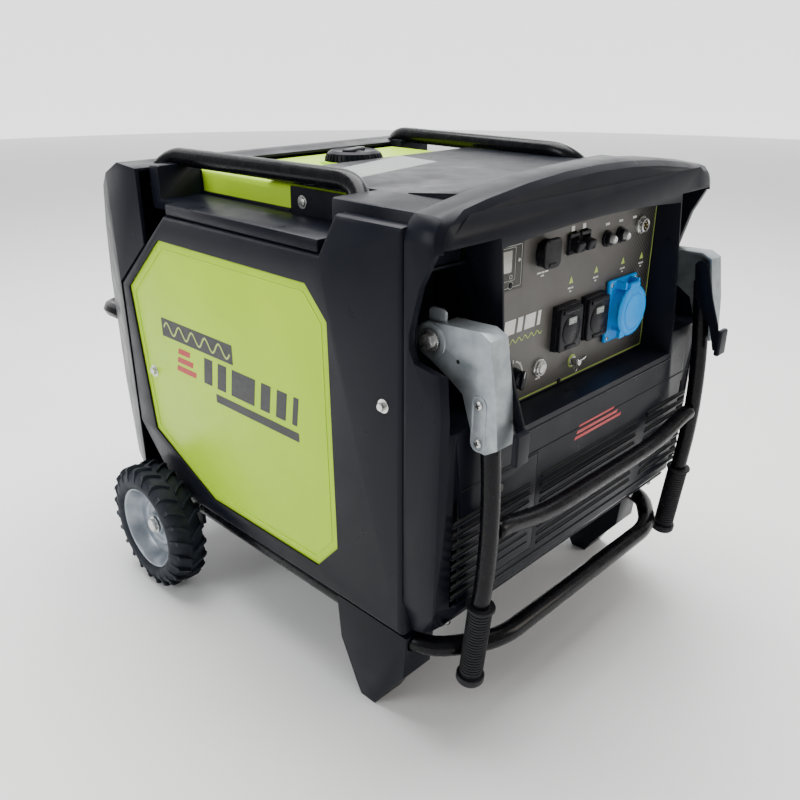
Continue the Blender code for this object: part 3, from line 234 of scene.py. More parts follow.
panel_plate = Finish("panel_plate", 0.4, metallic=0.25)
panel_tone = panel_plate.mix(
    panel_plate.spread(panel_plate.noise(9.0), 0, 1), (0.070, 0.066, 0.060), (0.094, 0.088, 0.080)
)
split = panel_plate.node("ShaderNodeSeparateXYZ")
panel_plate.link(panel_plate.place, split.inputs[0])
hatch = panel_plate.node("ShaderNodeTexWave", wave_type="BANDS", bands_direction="DIAGONAL")
hatch.inputs["Scale"].default_value = 105.0
panel_plate.link(panel_plate.place, hatch.inputs["Vector"])
stripe = panel_plate.spread(hatch.outputs["Fac"], 0.0, 1.0, 0.35, 0.65)
side_fade = panel_plate.spread(split.outputs["X"], 0.0, 1.0, 0.112, 0.165)
both = panel_plate.node("ShaderNodeMath", operation="MULTIPLY")
panel_plate.link(stripe, both.inputs[0])
panel_plate.link(side_fade, both.inputs[1])
panel_plate.colour(panel_plate.mix(both.outputs[0], panel_tone, (0.012, 0.012, 0.012)))
panel_plate.roughness(panel_plate.spread(panel_plate.noise(40.0), 0.34, 0.46))
panel_plate.bump(panel_plate.noise(800.0, 2.0), 0.00004, 0.4)

bezel_grey = moulded_plastic(
    "bezel_grey", (0.050, 0.049, 0.045), (0.070, 0.068, 0.062), 0.30, 0.42, 0.00003
)
screen = Finish("screen", 0.18, coat=0.5).dress((0.330, 0.320, 0.275), (0.430, 0.415, 0.360), (14.0,))
clear_cap = Finish("clear_cap", 0.14, coat=0.8).dress((0.42, 0.42, 0.40), (0.72, 0.72, 0.70), (400.0,))
cast_metal = Finish("cast_metal", 0.55, metallic=0.7).dress(
    (0.16, 0.16, 0.16), (0.32, 0.32, 0.31), (30.0, 5.0), ((60.0,), 0.45, 0.7), ((500.0, 4.0), 0.0003, 0.6)
)


def print_ink(name, colour):
    """Screen-printed ink, slightly uneven."""
    return Finish(name, 0.45).dress(tuple(c * 0.88 for c in colour), colour, (320.0,), ((200.0,), 0.38, 0.52))


white_ink = print_ink("white_ink", (0.72, 0.72, 0.69))
lime_ink = print_ink("lime_ink", (0.46, 0.60, 0.11))
black_ink = print_ink("black_ink", (0.012, 0.012, 0.014))
red_ink = print_ink("red_ink", (0.50, 0.022, 0.026))
label_grey = print_ink("label_grey", (0.23, 0.27, 0.25))
label_pale = print_ink("label_pale", (0.52, 0.54, 0.50))


# ---------------------------------------------------------------- mesh making
def linked(name, data):
    """A new object in the scene."""
    obj = bpy.data.objects.new(name, data)
    bpy.context.scene.collection.objects.link(obj)
    return obj


def made(name, mesh, finish, body, angle=35.0):
    """A piece: its mesh smoothed by angle, finished and riding on its body."""
    obj = linked(name, mesh)
    mesh.materials.clear()
    mesh.materials.append(finish.material)
    mesh.shade_smooth()
    mesh.set_sharp_from_angle(angle=math.radians(angle))
    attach(obj, body)
    return obj


def replacing(node, name, mesh, finish, body, angle=35.0):
    """A piece that stands for one of the frame's own."""
    obj = made(name, mesh, finish, body, angle)
    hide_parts(node)


def to_mesh(bm):
    bmesh.ops.recalc_face_normals(bm, faces=bm.faces)
    mesh = bpy.data.meshes.new("piece")
    bm.to_mesh(mesh)
    bm.free()
    return mesh


def skin(bm, rows):
    """Faces between each row of points and the next."""
    count = len(rows[0])
    for first, second in zip(rows, rows[1:]):
        for i in range(count):
            bm.faces.new((first[i], first[(i + 1) % count], second[(i + 1) % count], second[i]))


def loft(rings, endless=False):
    """Skin over rings of equally many points: capped, or run on from the last ring to the first."""
    bm = bmesh.new()
    rows = [[bm.verts.new(point) for point in ring] for ring in rings]
    skin(bm, rows + rows[:1] if endless else rows)
    if not endless:
        bm.faces.new(rows[0][::-1])
        bm.faces.new(rows[-1])
    return to_mesh(bm)


def turned(profile, steps=48):
    """Lathe of (radius, height) pairs about +Z, closed at both ends on the axis or as a ring."""
    on_axis = profile[0][0] < 1e-6 and profile[-1][0] < 1e-6
    rings = [[(x, y, z) for x, y in circle(r, steps)] for r, z in (profile[1:-1] if on_axis else profile)]
    if not on_axis:
        return loft(rings, endless=True)
    bm = bmesh.new()
    rows = [[bm.verts.new(point) for point in ring] for ring in rings]
    skin(bm, rows)
    for height, row in ((profile[0][1], rows[0]), (profile[-1][1], rows[-1])):
        tip = bm.verts.new((0, 0, height))
        for i in range(steps):
            bm.faces.new((row[i], row[(i + 1) % steps], tip))
    return to_mesh(bm)


def arc(centre, radius, start, end, steps):
    return [
        (
            centre[0] + radius * math.cos(math.radians(start + (end - start) * i / steps)),
            centre[1] + radius * math.sin(math.radians(start + (end - start) * i / steps)),
        )
        for i in range(steps + 1)
    ]


def disc_profile(radius, low, high, round_edge=0.0004, steps=3):
    """Profile of a button or washer with rounded upper edge."""
    rim = [
        (
            radius - round_edge + round_edge * math.cos(math.pi / 2 * i / steps),
            high - round_edge + round_edge * math.sin(math.pi / 2 * i / steps),
        )
        for i in range(steps + 1)
    ]
    return [(0, low), (radius, low), *rim, (0, high)]


def rounded(width, height, radius, steps=5, centre=(0.0, 0.0)):
    """Rounded rectangle, anticlockwise."""
    points = []
    for sx, sy, start in ((1, 1, 0), (-1, 1, 90), (-1, -1, 180), (1, -1, 270)):
        corner = (centre[0] + sx * (width / 2 - radius), centre[1] + sy * (height / 2 - radius))
        points += arc(corner, radius, start, start + 90, steps)
    return points


def circle(radius, steps):
    angles = (math.tau * i / steps for i in range(steps))
    return [(radius * math.cos(angle), radius * math.sin(angle)) for angle in angles]


def shrunk(outline, amount):
    """The outline moved inwards by amount, square to each edge."""
    count = len(outline)
    area = sum(
        outline[i][0] * outline[(i + 1) % count][1] - outline[(i + 1) % count][0] * outline[i][1]
        for i in range(count)
    )
    turn = 1 if area > 0 else -1
    result = []
    for i in range(count):
        before, here, after = (Vector(outline[(i + k) % count]) for k in (-1, 0, 1))
        first, second = (here - before).normalized(), (after - here).normalized()
        normal = Vector((-first.y - second.y, first.x + second.x)) * turn
        if normal.length < 1e-9:
            result.append(tuple(here))
            continue
        normal.normalize()
        lean = max(0.35, normal.dot(Vector((-first.y, first.x)) * turn))
        result.append(tuple(here + normal * amount / lean))
    return result


def slab(outline, thickness, edge=0.0006, steps=2):
    """Plate of the outline, from Z 0 up, with its upper rim rounded over."""
    rings = [[(x, y, 0) for x, y in outline]]
    for i in range(steps + 1):
        angle = math.pi / 2 * i / steps
        ring = shrunk(outline, edge * (1 - math.cos(angle)))
        rings.append([(x, y, thickness - edge + edge * math.sin(angle)) for x, y in ring])
    return loft(rings)


def stand(mesh, place, facing="front", spin=0.0):
    """Turns a piece made on its back so that its +Z faces the given side, and puts it in place."""
    turn = {
        "front": Matrix(((1, 0, 0), (0, 0, -1), (0, 1, 0))),
        "left": Matrix(((0, 0, -1), (-1, 0, 0), (0, 1, 0))),
        "right": Matrix(((0, 0, 1), (1, 0, 0), (0, 1, 0))),
        "rear": Matrix(((-1, 0, 0), (0, 0, 1), (0, 1, 0))),
        "up": Matrix.Identity(3),
    }[facing]
    spun = turn.to_4x4() @ Matrix.Rotation(spin, 4, "Z")
    mesh.transform(Matrix.Translation(place) @ spun)
    return mesh


def moved(mesh, x, y, z):
    mesh.transform(Matrix.Translation((x, y, z)))
    return mesh


def joined(*meshes):
    """One mesh out of several."""
    bm = bmesh.new()
    for mesh in meshes:
        bm.from_mesh(mesh)
    mesh = bpy.data.meshes.new("piece")
    bm.to_mesh(mesh)
    bm.free()
    return mesh


def rounded_path(points, bend, steps=6):
    """The corners of a path replaced by arcs."""
    points = [Vector(p) for p in points]
    path = [points[0]]
    for before, here, after in zip(points, points[1:], points[2:]):
        first, second = (before - here), (after - here)
        reach = min(bend, first.length * 0.49, second.length * 0.49)
        start, end = here + first.normalized() * reach, here + second.normalized() * reach
        for i in range(steps + 1):
            t = i / steps
            path.append(start * (1 - t) ** 2 + here * 2 * t * (1 - t) + end * t ** 2)
    path.append(points[-1])
    return path


def tube(points, radius, bend=0.02, around=20):
    """Bent tube with softly domed ends."""
    path = rounded_path(points, bend)
    side = None
    rings = []

    def ring(centre, forward, r):
        nonlocal side
        if side is None:
            side = forward.orthogonal().normalized()
        side = (side - forward * side.dot(forward)).normalized()
        up = forward.cross(side)
        turns = (math.tau * i / around for i in range(around))
        return [tuple(centre + (side * math.cos(a) + up * math.sin(a)) * r) for a in turns]

    for k, centre in enumerate(path):
        ahead = path[min(k + 1, len(path) - 1)] - centre
        behind = centre - path[max(k - 1, 0)]
        forward = (ahead.normalized() + behind.normalized()).normalized()
        if k == 0:
            for inset, part in ((0.0, 0.82), (0.0012, 0.94)):
                rings.append(ring(centre + forward * inset, forward, radius * part))
            rings.append(ring(centre + forward * 0.003, forward, radius))
        elif k == len(path) - 1:
            rings.append(ring(centre - forward * 0.003, forward, radius))
            for inset, part in ((0.0012, 0.94), (0.0, 0.82)):
                rings.append(ring(centre - forward * inset, forward, radius * part))
        else:
            rings.append(ring(centre, forward, radius))
    return loft(rings)


def softened(node, width, finish, body, segments=3, angle=34.0, limit=30.0):
    """The frame's own piece with its hard edges rounded over, standing for the plain one."""
    source = NODES[node]
    bm = bmesh.new()
    bm.from_mesh(source.data)
    bm.transform(source.matrix_world)
    bmesh.ops.remove_doubles(bm, verts=bm.verts, dist=0.00002)
    bmesh.ops.dissolve_limit(bm, angle_limit=math.radians(1.2), verts=bm.verts, edges=bm.edges)
    shell = linked(node + "_soft", to_mesh(bm))
    bevel = shell.modifiers.new("rounded_edges", "BEVEL")
    bevel.width = width
    bevel.segments = segments
    bevel.limit_method = "ANGLE"
    bevel.angle_limit = math.radians(limit)
    bevel.use_clamp_overlap = True
    bevel.harden_normals = False
    graph = bpy.context.evaluated_depsgraph_get()
    plain = bpy.data.meshes.new_from_object(shell.evaluated_get(graph))
    bpy.data.objects.remove(shell, do_unlink=True)
    replacing(node, node + "_look", plain, finish, body, angle)


# ---------------------------------------------------------------- rows of repeated detail
def row_tree(name):
    """Copies one detail along a line, each turned by a fixed step about the row's own axis."""
    tree = bpy.data.node_groups.new(name, "GeometryNodeTree")
    face = tree.interface
    ids = {}
    for label, kind in (
        ("Detail", "NodeSocketObject"), ("Count", "NodeSocketInt"),
        ("Start", "NodeSocketVector"), ("Step", "NodeSocketVector"),
        ("Turn", "NodeSocketVector"), ("Turn Step", "NodeSocketVector"),
        ("Finish", "NodeSocketMaterial"),
    ):
        ids[label] = face.new_socket(name=label, in_out="INPUT", socket_type=kind).identifier
    face.new_socket(name="Geometry", in_out="OUTPUT", socket_type="NodeSocketGeometry")
    n = tree.nodes
    link = tree.links.new
    entry, leave = n.new("NodeGroupInput"), n.new("NodeGroupOutput")
    line = n.new("GeometryNodeMeshLine")
    info = n.new("GeometryNodeObjectInfo")
    index = n.new("GeometryNodeInputIndex")
    scaled = n.new("ShaderNodeVectorMath")
    scaled.operation = "SCALE"
    added = n.new("ShaderNodeVectorMath")
    added.operation = "ADD"
    angle = n.new("FunctionNodeEulerToRotation")
    copies = n.new("GeometryNodeInstanceOnPoints")
    real = n.new("GeometryNodeRealizeInstances")
    coat = n.new("GeometryNodeSetMaterial")
    link(entry.outputs["Count"], line.inputs["Count"])
    link(entry.outputs["Start"], line.inputs["Start Location"])
    link(entry.outputs["Step"], line.inputs["Offset"])
    link(entry.outputs["Detail"], info.inputs["Object"])
    link(entry.outputs["Turn Step"], scaled.inputs[0])
    link(index.outputs[0], scaled.inputs["Scale"])
    link(scaled.outputs[0], added.inputs[0])
    link(entry.outputs["Turn"], added.inputs[1])
    link(added.outputs[0], angle.inputs[0])
    link(line.outputs["Mesh"], copies.inputs["Points"])
    link(info.outputs["Geometry"], copies.inputs["Instance"])
    link(angle.outputs[0], copies.inputs["Rotation"])
    link(copies.outputs[0], real.inputs[0])
    link(real.outputs[0], coat.inputs["Geometry"])
    link(entry.outputs["Finish"], coat.inputs["Material"])
    link(coat.outputs[0], leave.inputs[0])
    return tree, ids


ROW, ROW_INPUT = row_tree("row_of_details")


def row(detail, count, finish, start=(0, 0, 0), step=(0, 0, 0), turn=(0, 0, 0), turn_step=(0, 0, 0)):
    """Plain mesh of a detail repeated count times."""
    pattern = linked("detail", detail)
    carrier = linked("row", bpy.data.meshes.new("row"))
    modifier = carrier.modifiers.new("row", "NODES")
    modifier.node_group = ROW
    for label, value in (
        ("Detail", pattern), ("Count", count), ("Start", start), ("Step", step),
        ("Turn", turn), ("Turn Step", turn_step), ("Finish", finish.material),
    ):
        modifier[ROW_INPUT[label]] = value
    graph = bpy.context.evaluated_depsgraph_get()
    plain = bpy.data.meshes.new_from_object(carrier.evaluated_get(graph))
    bpy.data.objects.remove(carrier, do_unlink=True)
    bpy.data.objects.remove(pattern, do_unlink=True)
    return plain


def around(detail, count, finish):
    """Details repeated round the Z axis."""
    return row(detail, count, finish, turn_step=(0, 0, math.tau / count))


def cross_screw(radius=0.0032, height=0.0016):
    """Pan head, on its back."""
    return turned([(0, 0), (radius, 0), (radius, height * 0.35), (radius * 0.86, height * 0.8),
                   (radius * 0.6, height), (0, height)], 24)


def cross_mark(radius=0.0018):
    """Painted shade of the cross recess, as a thin dark inlay over the head."""
    half, arm = radius * 0.26, radius
    outline = [(half, half), (half, arm), (-half, arm), (-half, half), (-arm, half), (-arm, -half),
               (-half, -half), (-half, -arm), (half, -arm), (half, -half), (arm, -half), (arm, half)]
    return slab(outline, 0.0002, 0.00005, 1)


def put_screws(name, places, body, facing="front", radius=0.0032, height=0.0016, finish=None):
    """Cross-head screws at the places given, with their recesses."""
    heads, marks = [], []
    for k, place in enumerate(places):
        spin = 0.5 + 0.9 * k
        heads.append(stand(cross_screw(radius, height), place, facing, spin))
        mark = moved(cross_mark(radius * 0.6), 0, 0, height - 0.00005)
        marks.append(stand(mark, place, facing, spin))
    made(name, joined(*heads), finish or bolt_steel, body, 30)
    # The recesses are painted shade: dark inlays over the heads, not hollows.
    made(name + "_recess", joined(*marks), painted_shade, body, 30)


def hex_bolt(flats, height, washer):
    """Hexagon head with chamfered corners on a washer, on its back."""
    reach, base = flats / math.sqrt(3), 0.0012
    corners = circle(reach, 6)
    fine = [
        tuple(a * (1 - share) + b * share for a, b in zip(corners[k], corners[(k + 1) % 6]))
        for k in range(6) for share in (0.0, 0.25, 0.5, 0.75)
    ]
    rings = []
    for z, part in ((base, 1.0), (base + height * 0.86, 1.0), (base + height, 0.88)):
        cuts = [min(1.0, reach * part / math.hypot(x, y)) for x, y in fine]
        rings.append([(x * cut, y * cut, z) for (x, y), cut in zip(fine, cuts)])
    return joined(turned(disc_profile(washer, 0, base, 0.0003), 32), loft(rings))


def capsule(length, width, steps=6):
    """Slot outline lying along X."""
    reach, r = (length - width) / 2, width / 2
    return arc((reach, 0), r, -90, 90, steps) + arc((-reach, 0), r, 90, 270, steps)


def band(path, width):
    """Outline of a stroke of even width along a path."""
    left, right = [], []
    for i, here in enumerate(path):
        before, after = path[max(i - 1, 0)], path[min(i + 1, len(path) - 1)]
        along = Vector((after[0] - before[0], after[1] - before[1])).normalized()
        left.append((here[0] - along.y * width / 2, here[1] + along.x * width / 2))
        right.append((here[0] + along.y * width / 2, here[1] - along.x * width / 2))
    return left + right[::-1]

def outlined(width, height, radius, stroke):
    """Stroke of even width round a rounded rectangle."""
    outline = rounded(width, height, radius, 2)
    return band(outline + outline[:1], stroke)


def frame_through(*lines):
    """Closed frame through the outlines given, each with its height."""
    return loft([[(u, v, height) for u, v in outline] for outline, height in lines], endless=True)


def rod(reach, y, z, radius, around=20):
    """Straight domed rod along X."""
    return tube([(-reach, y, z), (reach, y, z)], radius, around=around)


def rib(*rings):
    """Rib up the side of a turned piece: root and tip radius, root and tip half width, height."""
    return loft([
        [(root, -wide, z), (tip, -narrow, z), (tip, narrow, z), (root, wide, z)]
        for root, tip, wide, narrow, z in rings
    ])


def printed(name, outlines, place, finish, body="casing", facing="front", height=0.00025):
    """Flat printed shapes lying on a surface."""
    meshes = [stand(slab(outline, height, 0.00006, 1), place, facing) for outline in outlines]
    return made(name, joined(*meshes), finish, body, 30)


def bar(x, y, width, height, lean=0.0):
    """Leaning plain bar, lower left corner first."""
    return [(x, y), (x + width, y), (x + width + lean, y + height), (x + lean, y + height)]


def front_y(z):
    """Y of the front cover's face at this height."""
    heights = (CHIN_BOTTOM, CHIN_TOP, PIVOT.z - 0.071, CROWN)
    fronts = (FACE + 0.040, FACE + 0.003, FACE, FACE + 0.018)
    for i in range(3):
        if z <= heights[i + 1]:
            share = max(0.0, z - heights[i]) / (heights[i + 1] - heights[i])
            return fronts[i] + (fronts[i + 1] - fronts[i]) * share
    return fronts[-1]


# ---------------------------------------------------------------- casing
def casing_shells():
    softened("front_cover", 0.0014, moulded_black, "casing", 2, 30, 28)
    softened("top_cover", 0.0014, moulded_black, "casing", 2, 30)
    softened("rear_cover", 0.0060, moulded_black, "casing", 4)
    softened("base_tray", 0.0015, moulded_black, "casing", 2)
    softened("fuel_tank", 0.0070, green_gloss, "casing", 4)
    for _, side in SIDES:
        softened(side + "_side_frame", 0.0050, moulded_black, "casing", 4)
        softened(side + "_side_panel", 0.0014, green_gloss, "casing", 3)
        softened(side + "_foot", 0.0040, moulded_black, "casing", 3)


def louvre_rows(name, x_low, x_high, z_top, pitch, count, height, lift=0.0):
    """Moulded louvres in the lower front: a flush sheet of painted shade for each slot, under a rounded lip,
    over and over.
    """
    length, middle = x_high - x_low, (x_low + x_high) / 2
    y = front_y(z_top) - 0.0004 - lift
    lean = (front_y(z_top - pitch * (count - 1)) - front_y(z_top)) / max(1, count - 1)
    slot = stand(slab(capsule(length, height), 0.0006, 0.0002, 1), (0, 0.0003, 0))
    lip = slab(capsule(length + 0.002, height * 0.50), 0.0016, 0.0007, 2)
    stand(lip, (0, 0.0003, -height * 0.66))
    start, step = (middle, y, z_top), (0, lean, -pitch)
    made(name + "_slots", row(slot, count, painted_shade, start, step), painted_shade, "casing")
    made(name + "_lips", row(lip, count, moulded_black, start, step), moulded_black, "casing")

def lower_front():
    louvre_rows("side_louvres", -0.270, -0.225, 0.326, 0.0138, 8, 0.0052)
    louvre_rows("far_louvres", 0.150, 0.262, 0.326, 0.0138, 8, 0.0052)
    louvre_rows("middle_louvres", -0.105, 0.122, 0.325, 0.0120, 9, 0.0042)
    softened("service_cover", 0.0007, moulded_black, "casing", 2)
    louvre_rows("cover_louvres", -0.204, -0.130, 0.3225, 0.0115, 8, 0.0040, lift=0.0008)
    x_low, x_high = DOOR_LOW.x - 0.0016, DOOR_HIGH.x + 0.0016
    z_low, z_high = DOOR_LOW.z - 0.0016, DOOR_HIGH.z + 0.0016
    outer = rounded(x_high - x_low, z_high - z_low, 0.005)
    inner = shrunk(outer, 0.0014)
    # The seam round the service cover is a thin dark frame of painted shade standing in for the gap.
    seam = frame_through((outer, 0.0001), (outer, 0.0007), (inner, 0.0007), (inner, 0.0001))
    stand(seam, ((x_low + x_high) / 2, front_y(0.30) + 0.0003, (z_low + z_high) / 2))
    made("service_cover_seam", seam, painted_shade, "casing")
    for name, z, width in (("upper", 0.2135, 0.0044), ("lower", 0.1780, 0.0040)):
        line = rod(0.262, front_y(z) + 0.0006, z, width / 2, 14)
        made(name + "_front_rib", line, moulded_black, "casing")
    made("sill_line", rod(0.196, front_y(0.396) + 0.0004, 0.396, 0.0016), moulded_black, "casing")
    # The waist seam is a dark strip of painted shade on the face, not a groove.
    line = slab(rounded(0.520, 0.0012, 0.0005, 2), 0.0005, 0.0001, 1)
    made("waist_seam", stand(line, (0, front_y(0.363) - 0.0001, 0.363)), painted_shade, "casing")
    latch = joined(
        turned([(0, 0), (0.0062, 0), (0.0062, 0.0008), (0.0054, 0.0014), (0, 0.0014)], 28),
        slab(capsule(0.0095, 0.0026), 0.0026, 0.0008, 2),
    )
    stand(latch, (DOOR_LOW.x + 0.022, FACE + 0.0012, DOOR_HIGH.z - 0.020), spin=math.pi / 2)
    replacing("service_latch", "service_latch_look", latch, bezel_grey, "latch")
    places = [(-0.236, front_y(0.160) + 0.0002, 0.160), (0.185, front_y(0.166), 0.166),
              (0.240, front_y(0.166), 0.166)]
    put_screws("base_screw", places, "casing", radius=0.0042, height=0.0022)
    stripes = [bar(0.004 * k, 0.0072 * k, 0.110 - 0.014 * k, 0.0040, 0.002) for k in range(3)]
    printed("front_stripes", stripes, (-0.040, front_y(0.360) - 0.0001, 0.3480), red_ink)


def side_details():
    for side, name in SIDES:
        face_x, outer = side * (HALF - 0.0025), side * HALF
        heads = [
            stand(hex_bolt(0.0105, 0.0040, 0.0095), (face_x - side * 0.0004, 0.1852, 0.3499), name, 0.3),
            stand(hex_bolt(0.0085, 0.0050, 0.0082), (outer - side * 0.0006, -0.3170, 0.4470), name, 0.2),
        ]
        made(name + "_side_bolts", joined(*heads), bolt_steel, "casing", 30)
        wave = [
            (-0.141 + 0.165 * i / 120, 0.4300 + 0.0080 * math.sin(math.tau * 5 * i / 120)) for i in range(121)
        ]
        bars, x = [], -0.046
        for width in (0.020, 0.020, 0.052, 0.020, 0.020, 0.010):
            bars.append(bar(x, 0.3700, width, 0.0390, 0.006))
            x += width + 0.0130
        stripes = [
            bar(-0.117 + 0.004 * k, 0.3700 + 0.0138 * k, 0.050 - 0.010 * k, 0.0085, 0.003) for k in range(3)
        ]
        ridge = [(-y if side < 0 else y, z) for y, z in opening_edge(0.0120)]
        for label, outlines, finish, lift, height in (
            ("wave_band", [rounded(0.177, 0.028, 0.001, 2, (-0.0585, 0.4300))], black_ink, 0.0001, 0.00025),
            ("wave", [band(wave, 0.0028)], lime_ink, 0.0003, 0.00025),
            ("big_bars", bars, black_ink, 0.0001, 0.00025),
            ("red_stripes", stripes, red_ink, 0.0001, 0.00025),
            ("lower_band", [rounded(0.182, 0.0125, 0.0008, 2, (0.073, 0.3550))], black_ink, 0.0001, 0.00025),
            ("panel_ridge", [band(ridge, 0.0016)], green_gloss, 0.0001, 0.0008),
        ):
            place = (face_x + side * lift, 0, 0)
            printed(f"{name}_{label}", outlines, place, finish, facing=name, height=height)


def opening_edge(inward):
    """The eight-sided side panel in (y, z), inset, closed on itself."""
    front, rear = FRONT_SEAM + 0.113, REAR_SEAM - 0.023
    top, bottom = SHOULDER - 0.036, CASE_BOTTOM + 0.028
    outline = [
        (front, bottom + 0.045), (front + 0.005, top - 0.038), (front + 0.041, top),
        (rear - 0.099, top), (rear, top - 0.084), (rear - 0.027, bottom + 0.069),
        (rear - 0.178, bottom), (front + 0.041, bottom),
    ]
    inner = shrunk(outline, inward)
    return inner + inner[:1]


# ---------------------------------------------------------------- top
def top_details():
    cap_place = (0.0, (CAP_LOW.y + CAP_HIGH.y) / 2, CAP_LOW.z)
    height = CAP_HIGH.z - CAP_LOW.z
    radius = (CAP_HIGH.x - CAP_LOW.x) / 2
    body = turned(
        [(0, 0), (radius - 0.0025, 0), (radius - 0.0025, height * 0.55), (radius - 0.005, height * 0.80),
         (radius - 0.010, height * 0.90), (radius - 0.013, height * 0.84), (0.012, height * 0.84),
         (0.010, height * 0.88), (0, height * 0.88)], 72,
    )
    edges = rib(
        (radius - 0.0034, radius - 0.0002, 0.0016, 0.0010, 0.002),
        (radius - 0.0034, radius - 0.0006, 0.0016, 0.0010, height * 0.58),
        (radius - 0.0055, radius - 0.0035, 0.0012, 0.0007, height * 0.76),
    )
    handle = moved(slab(capsule(radius * 1.30, 0.015), height * 0.14, 0.002, 3), 0, 0, height * 0.84)
    cap = stand(joined(body, around(edges, 36, moulded_black), handle), cap_place, "up", 0.35)
    replacing("fuel_cap", "fuel_cap_look", cap, moulded_black, "tank_cap")
    collar = turned(
        [(radius + 0.0005, 0), (radius + 0.007, 0), (radius + 0.006, 0.004), (radius + 0.0005, 0.004)], 72
    )
    stand(collar, (0, cap_place[1], TANK_HIGH.z - 0.0005), "up")
    made("filler_collar", collar, green_gloss, "casing")
    for side, name in SIDES:
        x = side * (TANK_HIGH.x + 0.0012)
        walls = []
        for start, end, top in ((-0.168, -0.061, 0.6435), (-0.061, 0.139, 0.6150), (0.139, 0.158, 0.6435)):
            lean = 0.003 if start < -0.1 else 0.0
            outline = [(side * y, z) for y, z in ((start, 0.532), (end, 0.532), (end - lean, top), (start, top))]
            walls.append(stand(slab(outline[::side], 0.0026, 0.0008, 2), (x, 0, 0), name))
        made(name + "_recess_walls", joined(*walls), moulded_black, "casing")
        screw_place = (x + side * 0.0026, -0.0880, 0.6260)
        bolt_place = (side * 0.2380, 0.1330, SHOULDER + 0.0004)
        fasteners = joined(
            stand(hex_bolt(0.0110, 0.0050, 0.0125), bolt_place, "up", 0.4),
            stand(cross_screw(0.0060, 0.0030), screw_place, name),
            stand(ring_mesh(0.0085, 0.0060, 0.0012, 0.0003), screw_place, name),
        )
        made(name + "_recess_fasteners", fasteners, bolt_steel, "casing", 30)
    label = [(-0.150, -0.135), (0.032, -0.098), (0.046, -0.012), (-0.124, -0.058)]
    printed("top_label", [label], (0, 0, TANK_HIGH.z + 0.0098), label_grey, facing="up")
    lines = [bar(-0.128 + 0.004 * k, -0.118 + 0.0135 * k, 0.060, 0.0032) for k in range(4)]
    printed("top_label_lines", lines, (0, 0, TANK_HIGH.z + 0.0101), label_pale, facing="up")


# ---------------------------------------------------------------- tubes
def mirrored(points):
    """A path from the left end to the middle, run on to the right end."""
    return points + [(-x, y, z) for x, y, z in reversed(points)]


def bars_and_tubes():
    for side, name in SIDES:
        lift = [(side * 0.236, -0.235, 0.620), (side * 0.208, -0.195, 0.6625), (side * 0.226, 0.178, 0.6625),
                (side * 0.262, 0.226, 0.600)]
        look = tube(lift, TUBE, 0.03, 28)
        replacing(name + "_lift_bar", name + "_lift_bar_look", look, tube_black, "casing", 50)
        arm = [(side * ARM_X, y, z) for y, z in
               ((-0.415, 0.505), (-0.4285, 0.391), (-0.4295, 0.289), (-0.410, 0.098))]
        look = tube(arm, ARM, 0.05, 28)
        replacing(name + "_handle_arm", name + "_arm_look", look, tube_black, "handle", 50)
        softened(name + "_pivot_bolt", 0.0004, bolt_steel, "casing", 2)
    base = mirrored([(-0.262, 0.125, BASE_Z), (-0.262, -0.359, BASE_Z), (-0.1852, -0.412, BASE_Z)])
    replacing("base_frame_tube", "base_tube_look", tube(base, TUBE, 0.035, 28), tube_black, "casing", 50)
    cross = mirrored([(-0.2269, -0.4295, 0.311), (-0.2109, -0.4295, 0.311), (-0.132, -0.4295, 0.293)])
    replacing("handle_crossbar", "crossbar_look", tube(cross, ARM, 0.05, 28), tube_black, "handle", 50)
    softened("rear_bumper", 0.0012, tube_black, "casing", 2)
    softened("axle", 0.0006, bolt_steel, "casing", 2)


def brackets():
    for side, name in SIDES:
        softened(name + "_handle_bracket", 0.0011, zinc_plate, "handle", 3)
        softened(name + "_lock_lever", 0.0010, moulded_black, name + "_lever", 3)
        outer = side * (ARM_X + ARM + 0.0003 + 0.003)
        face = outer - side * 0.0001
        ring = turned([(0.0135, 0), (0.0205, 0), (0.0198, 0.0010), (0.0168, 0.0016), (0.0142, 0.0008)], 48)
        made(name + "_pivot_ring", stand(ring, (face, PIVOT.y, PIVOT.z), name), zinc_plate, "handle")
        ear = slab(rounded(0.024, 0.0200, 0.0060, 5), 0.0022, 0.0006, 2)
        stand(ear, (outer - side * 0.0075, PIVOT.y - 0.004, PIVOT.z + 0.0250), name)
        made(name + "_pivot_ear", ear, zinc_plate, "handle")
        rim_outer, rim_inner = capsule(0.064, 0.0205, 10), capsule(0.058, 0.0145, 10)
        rim = frame_through((rim_outer, 0.0), (shrunk(rim_outer, 0.0008), 0.0014),
                            (shrunk(rim_inner, -0.0008), 0.0014), (rim_inner, 0.0))
        stand(rim, (face, -0.4192, 0.4462), name, math.pi / 2)
        made(name + "_bracket_rim", rim, zinc_plate, "handle")
        places = [(outer, -0.4190, 0.4675), (outer, -0.4195, 0.4246)]
        put_screws(name + "_bracket_screw", places, "handle", name, 0.0052, 0.0030)
        # The latch hole is a dark sheet of painted shade, not a cut.
        hole = slab(rounded(0.0042, 0.0042, 0.0008, 2), 0.0003, 0.0001, 1)
        stand(hole, (face, PIVOT.y - 0.038, PIVOT.z - 0.014), name, 0.5)
        made(name + "_bracket_hole", hole, painted_shade, "handle")


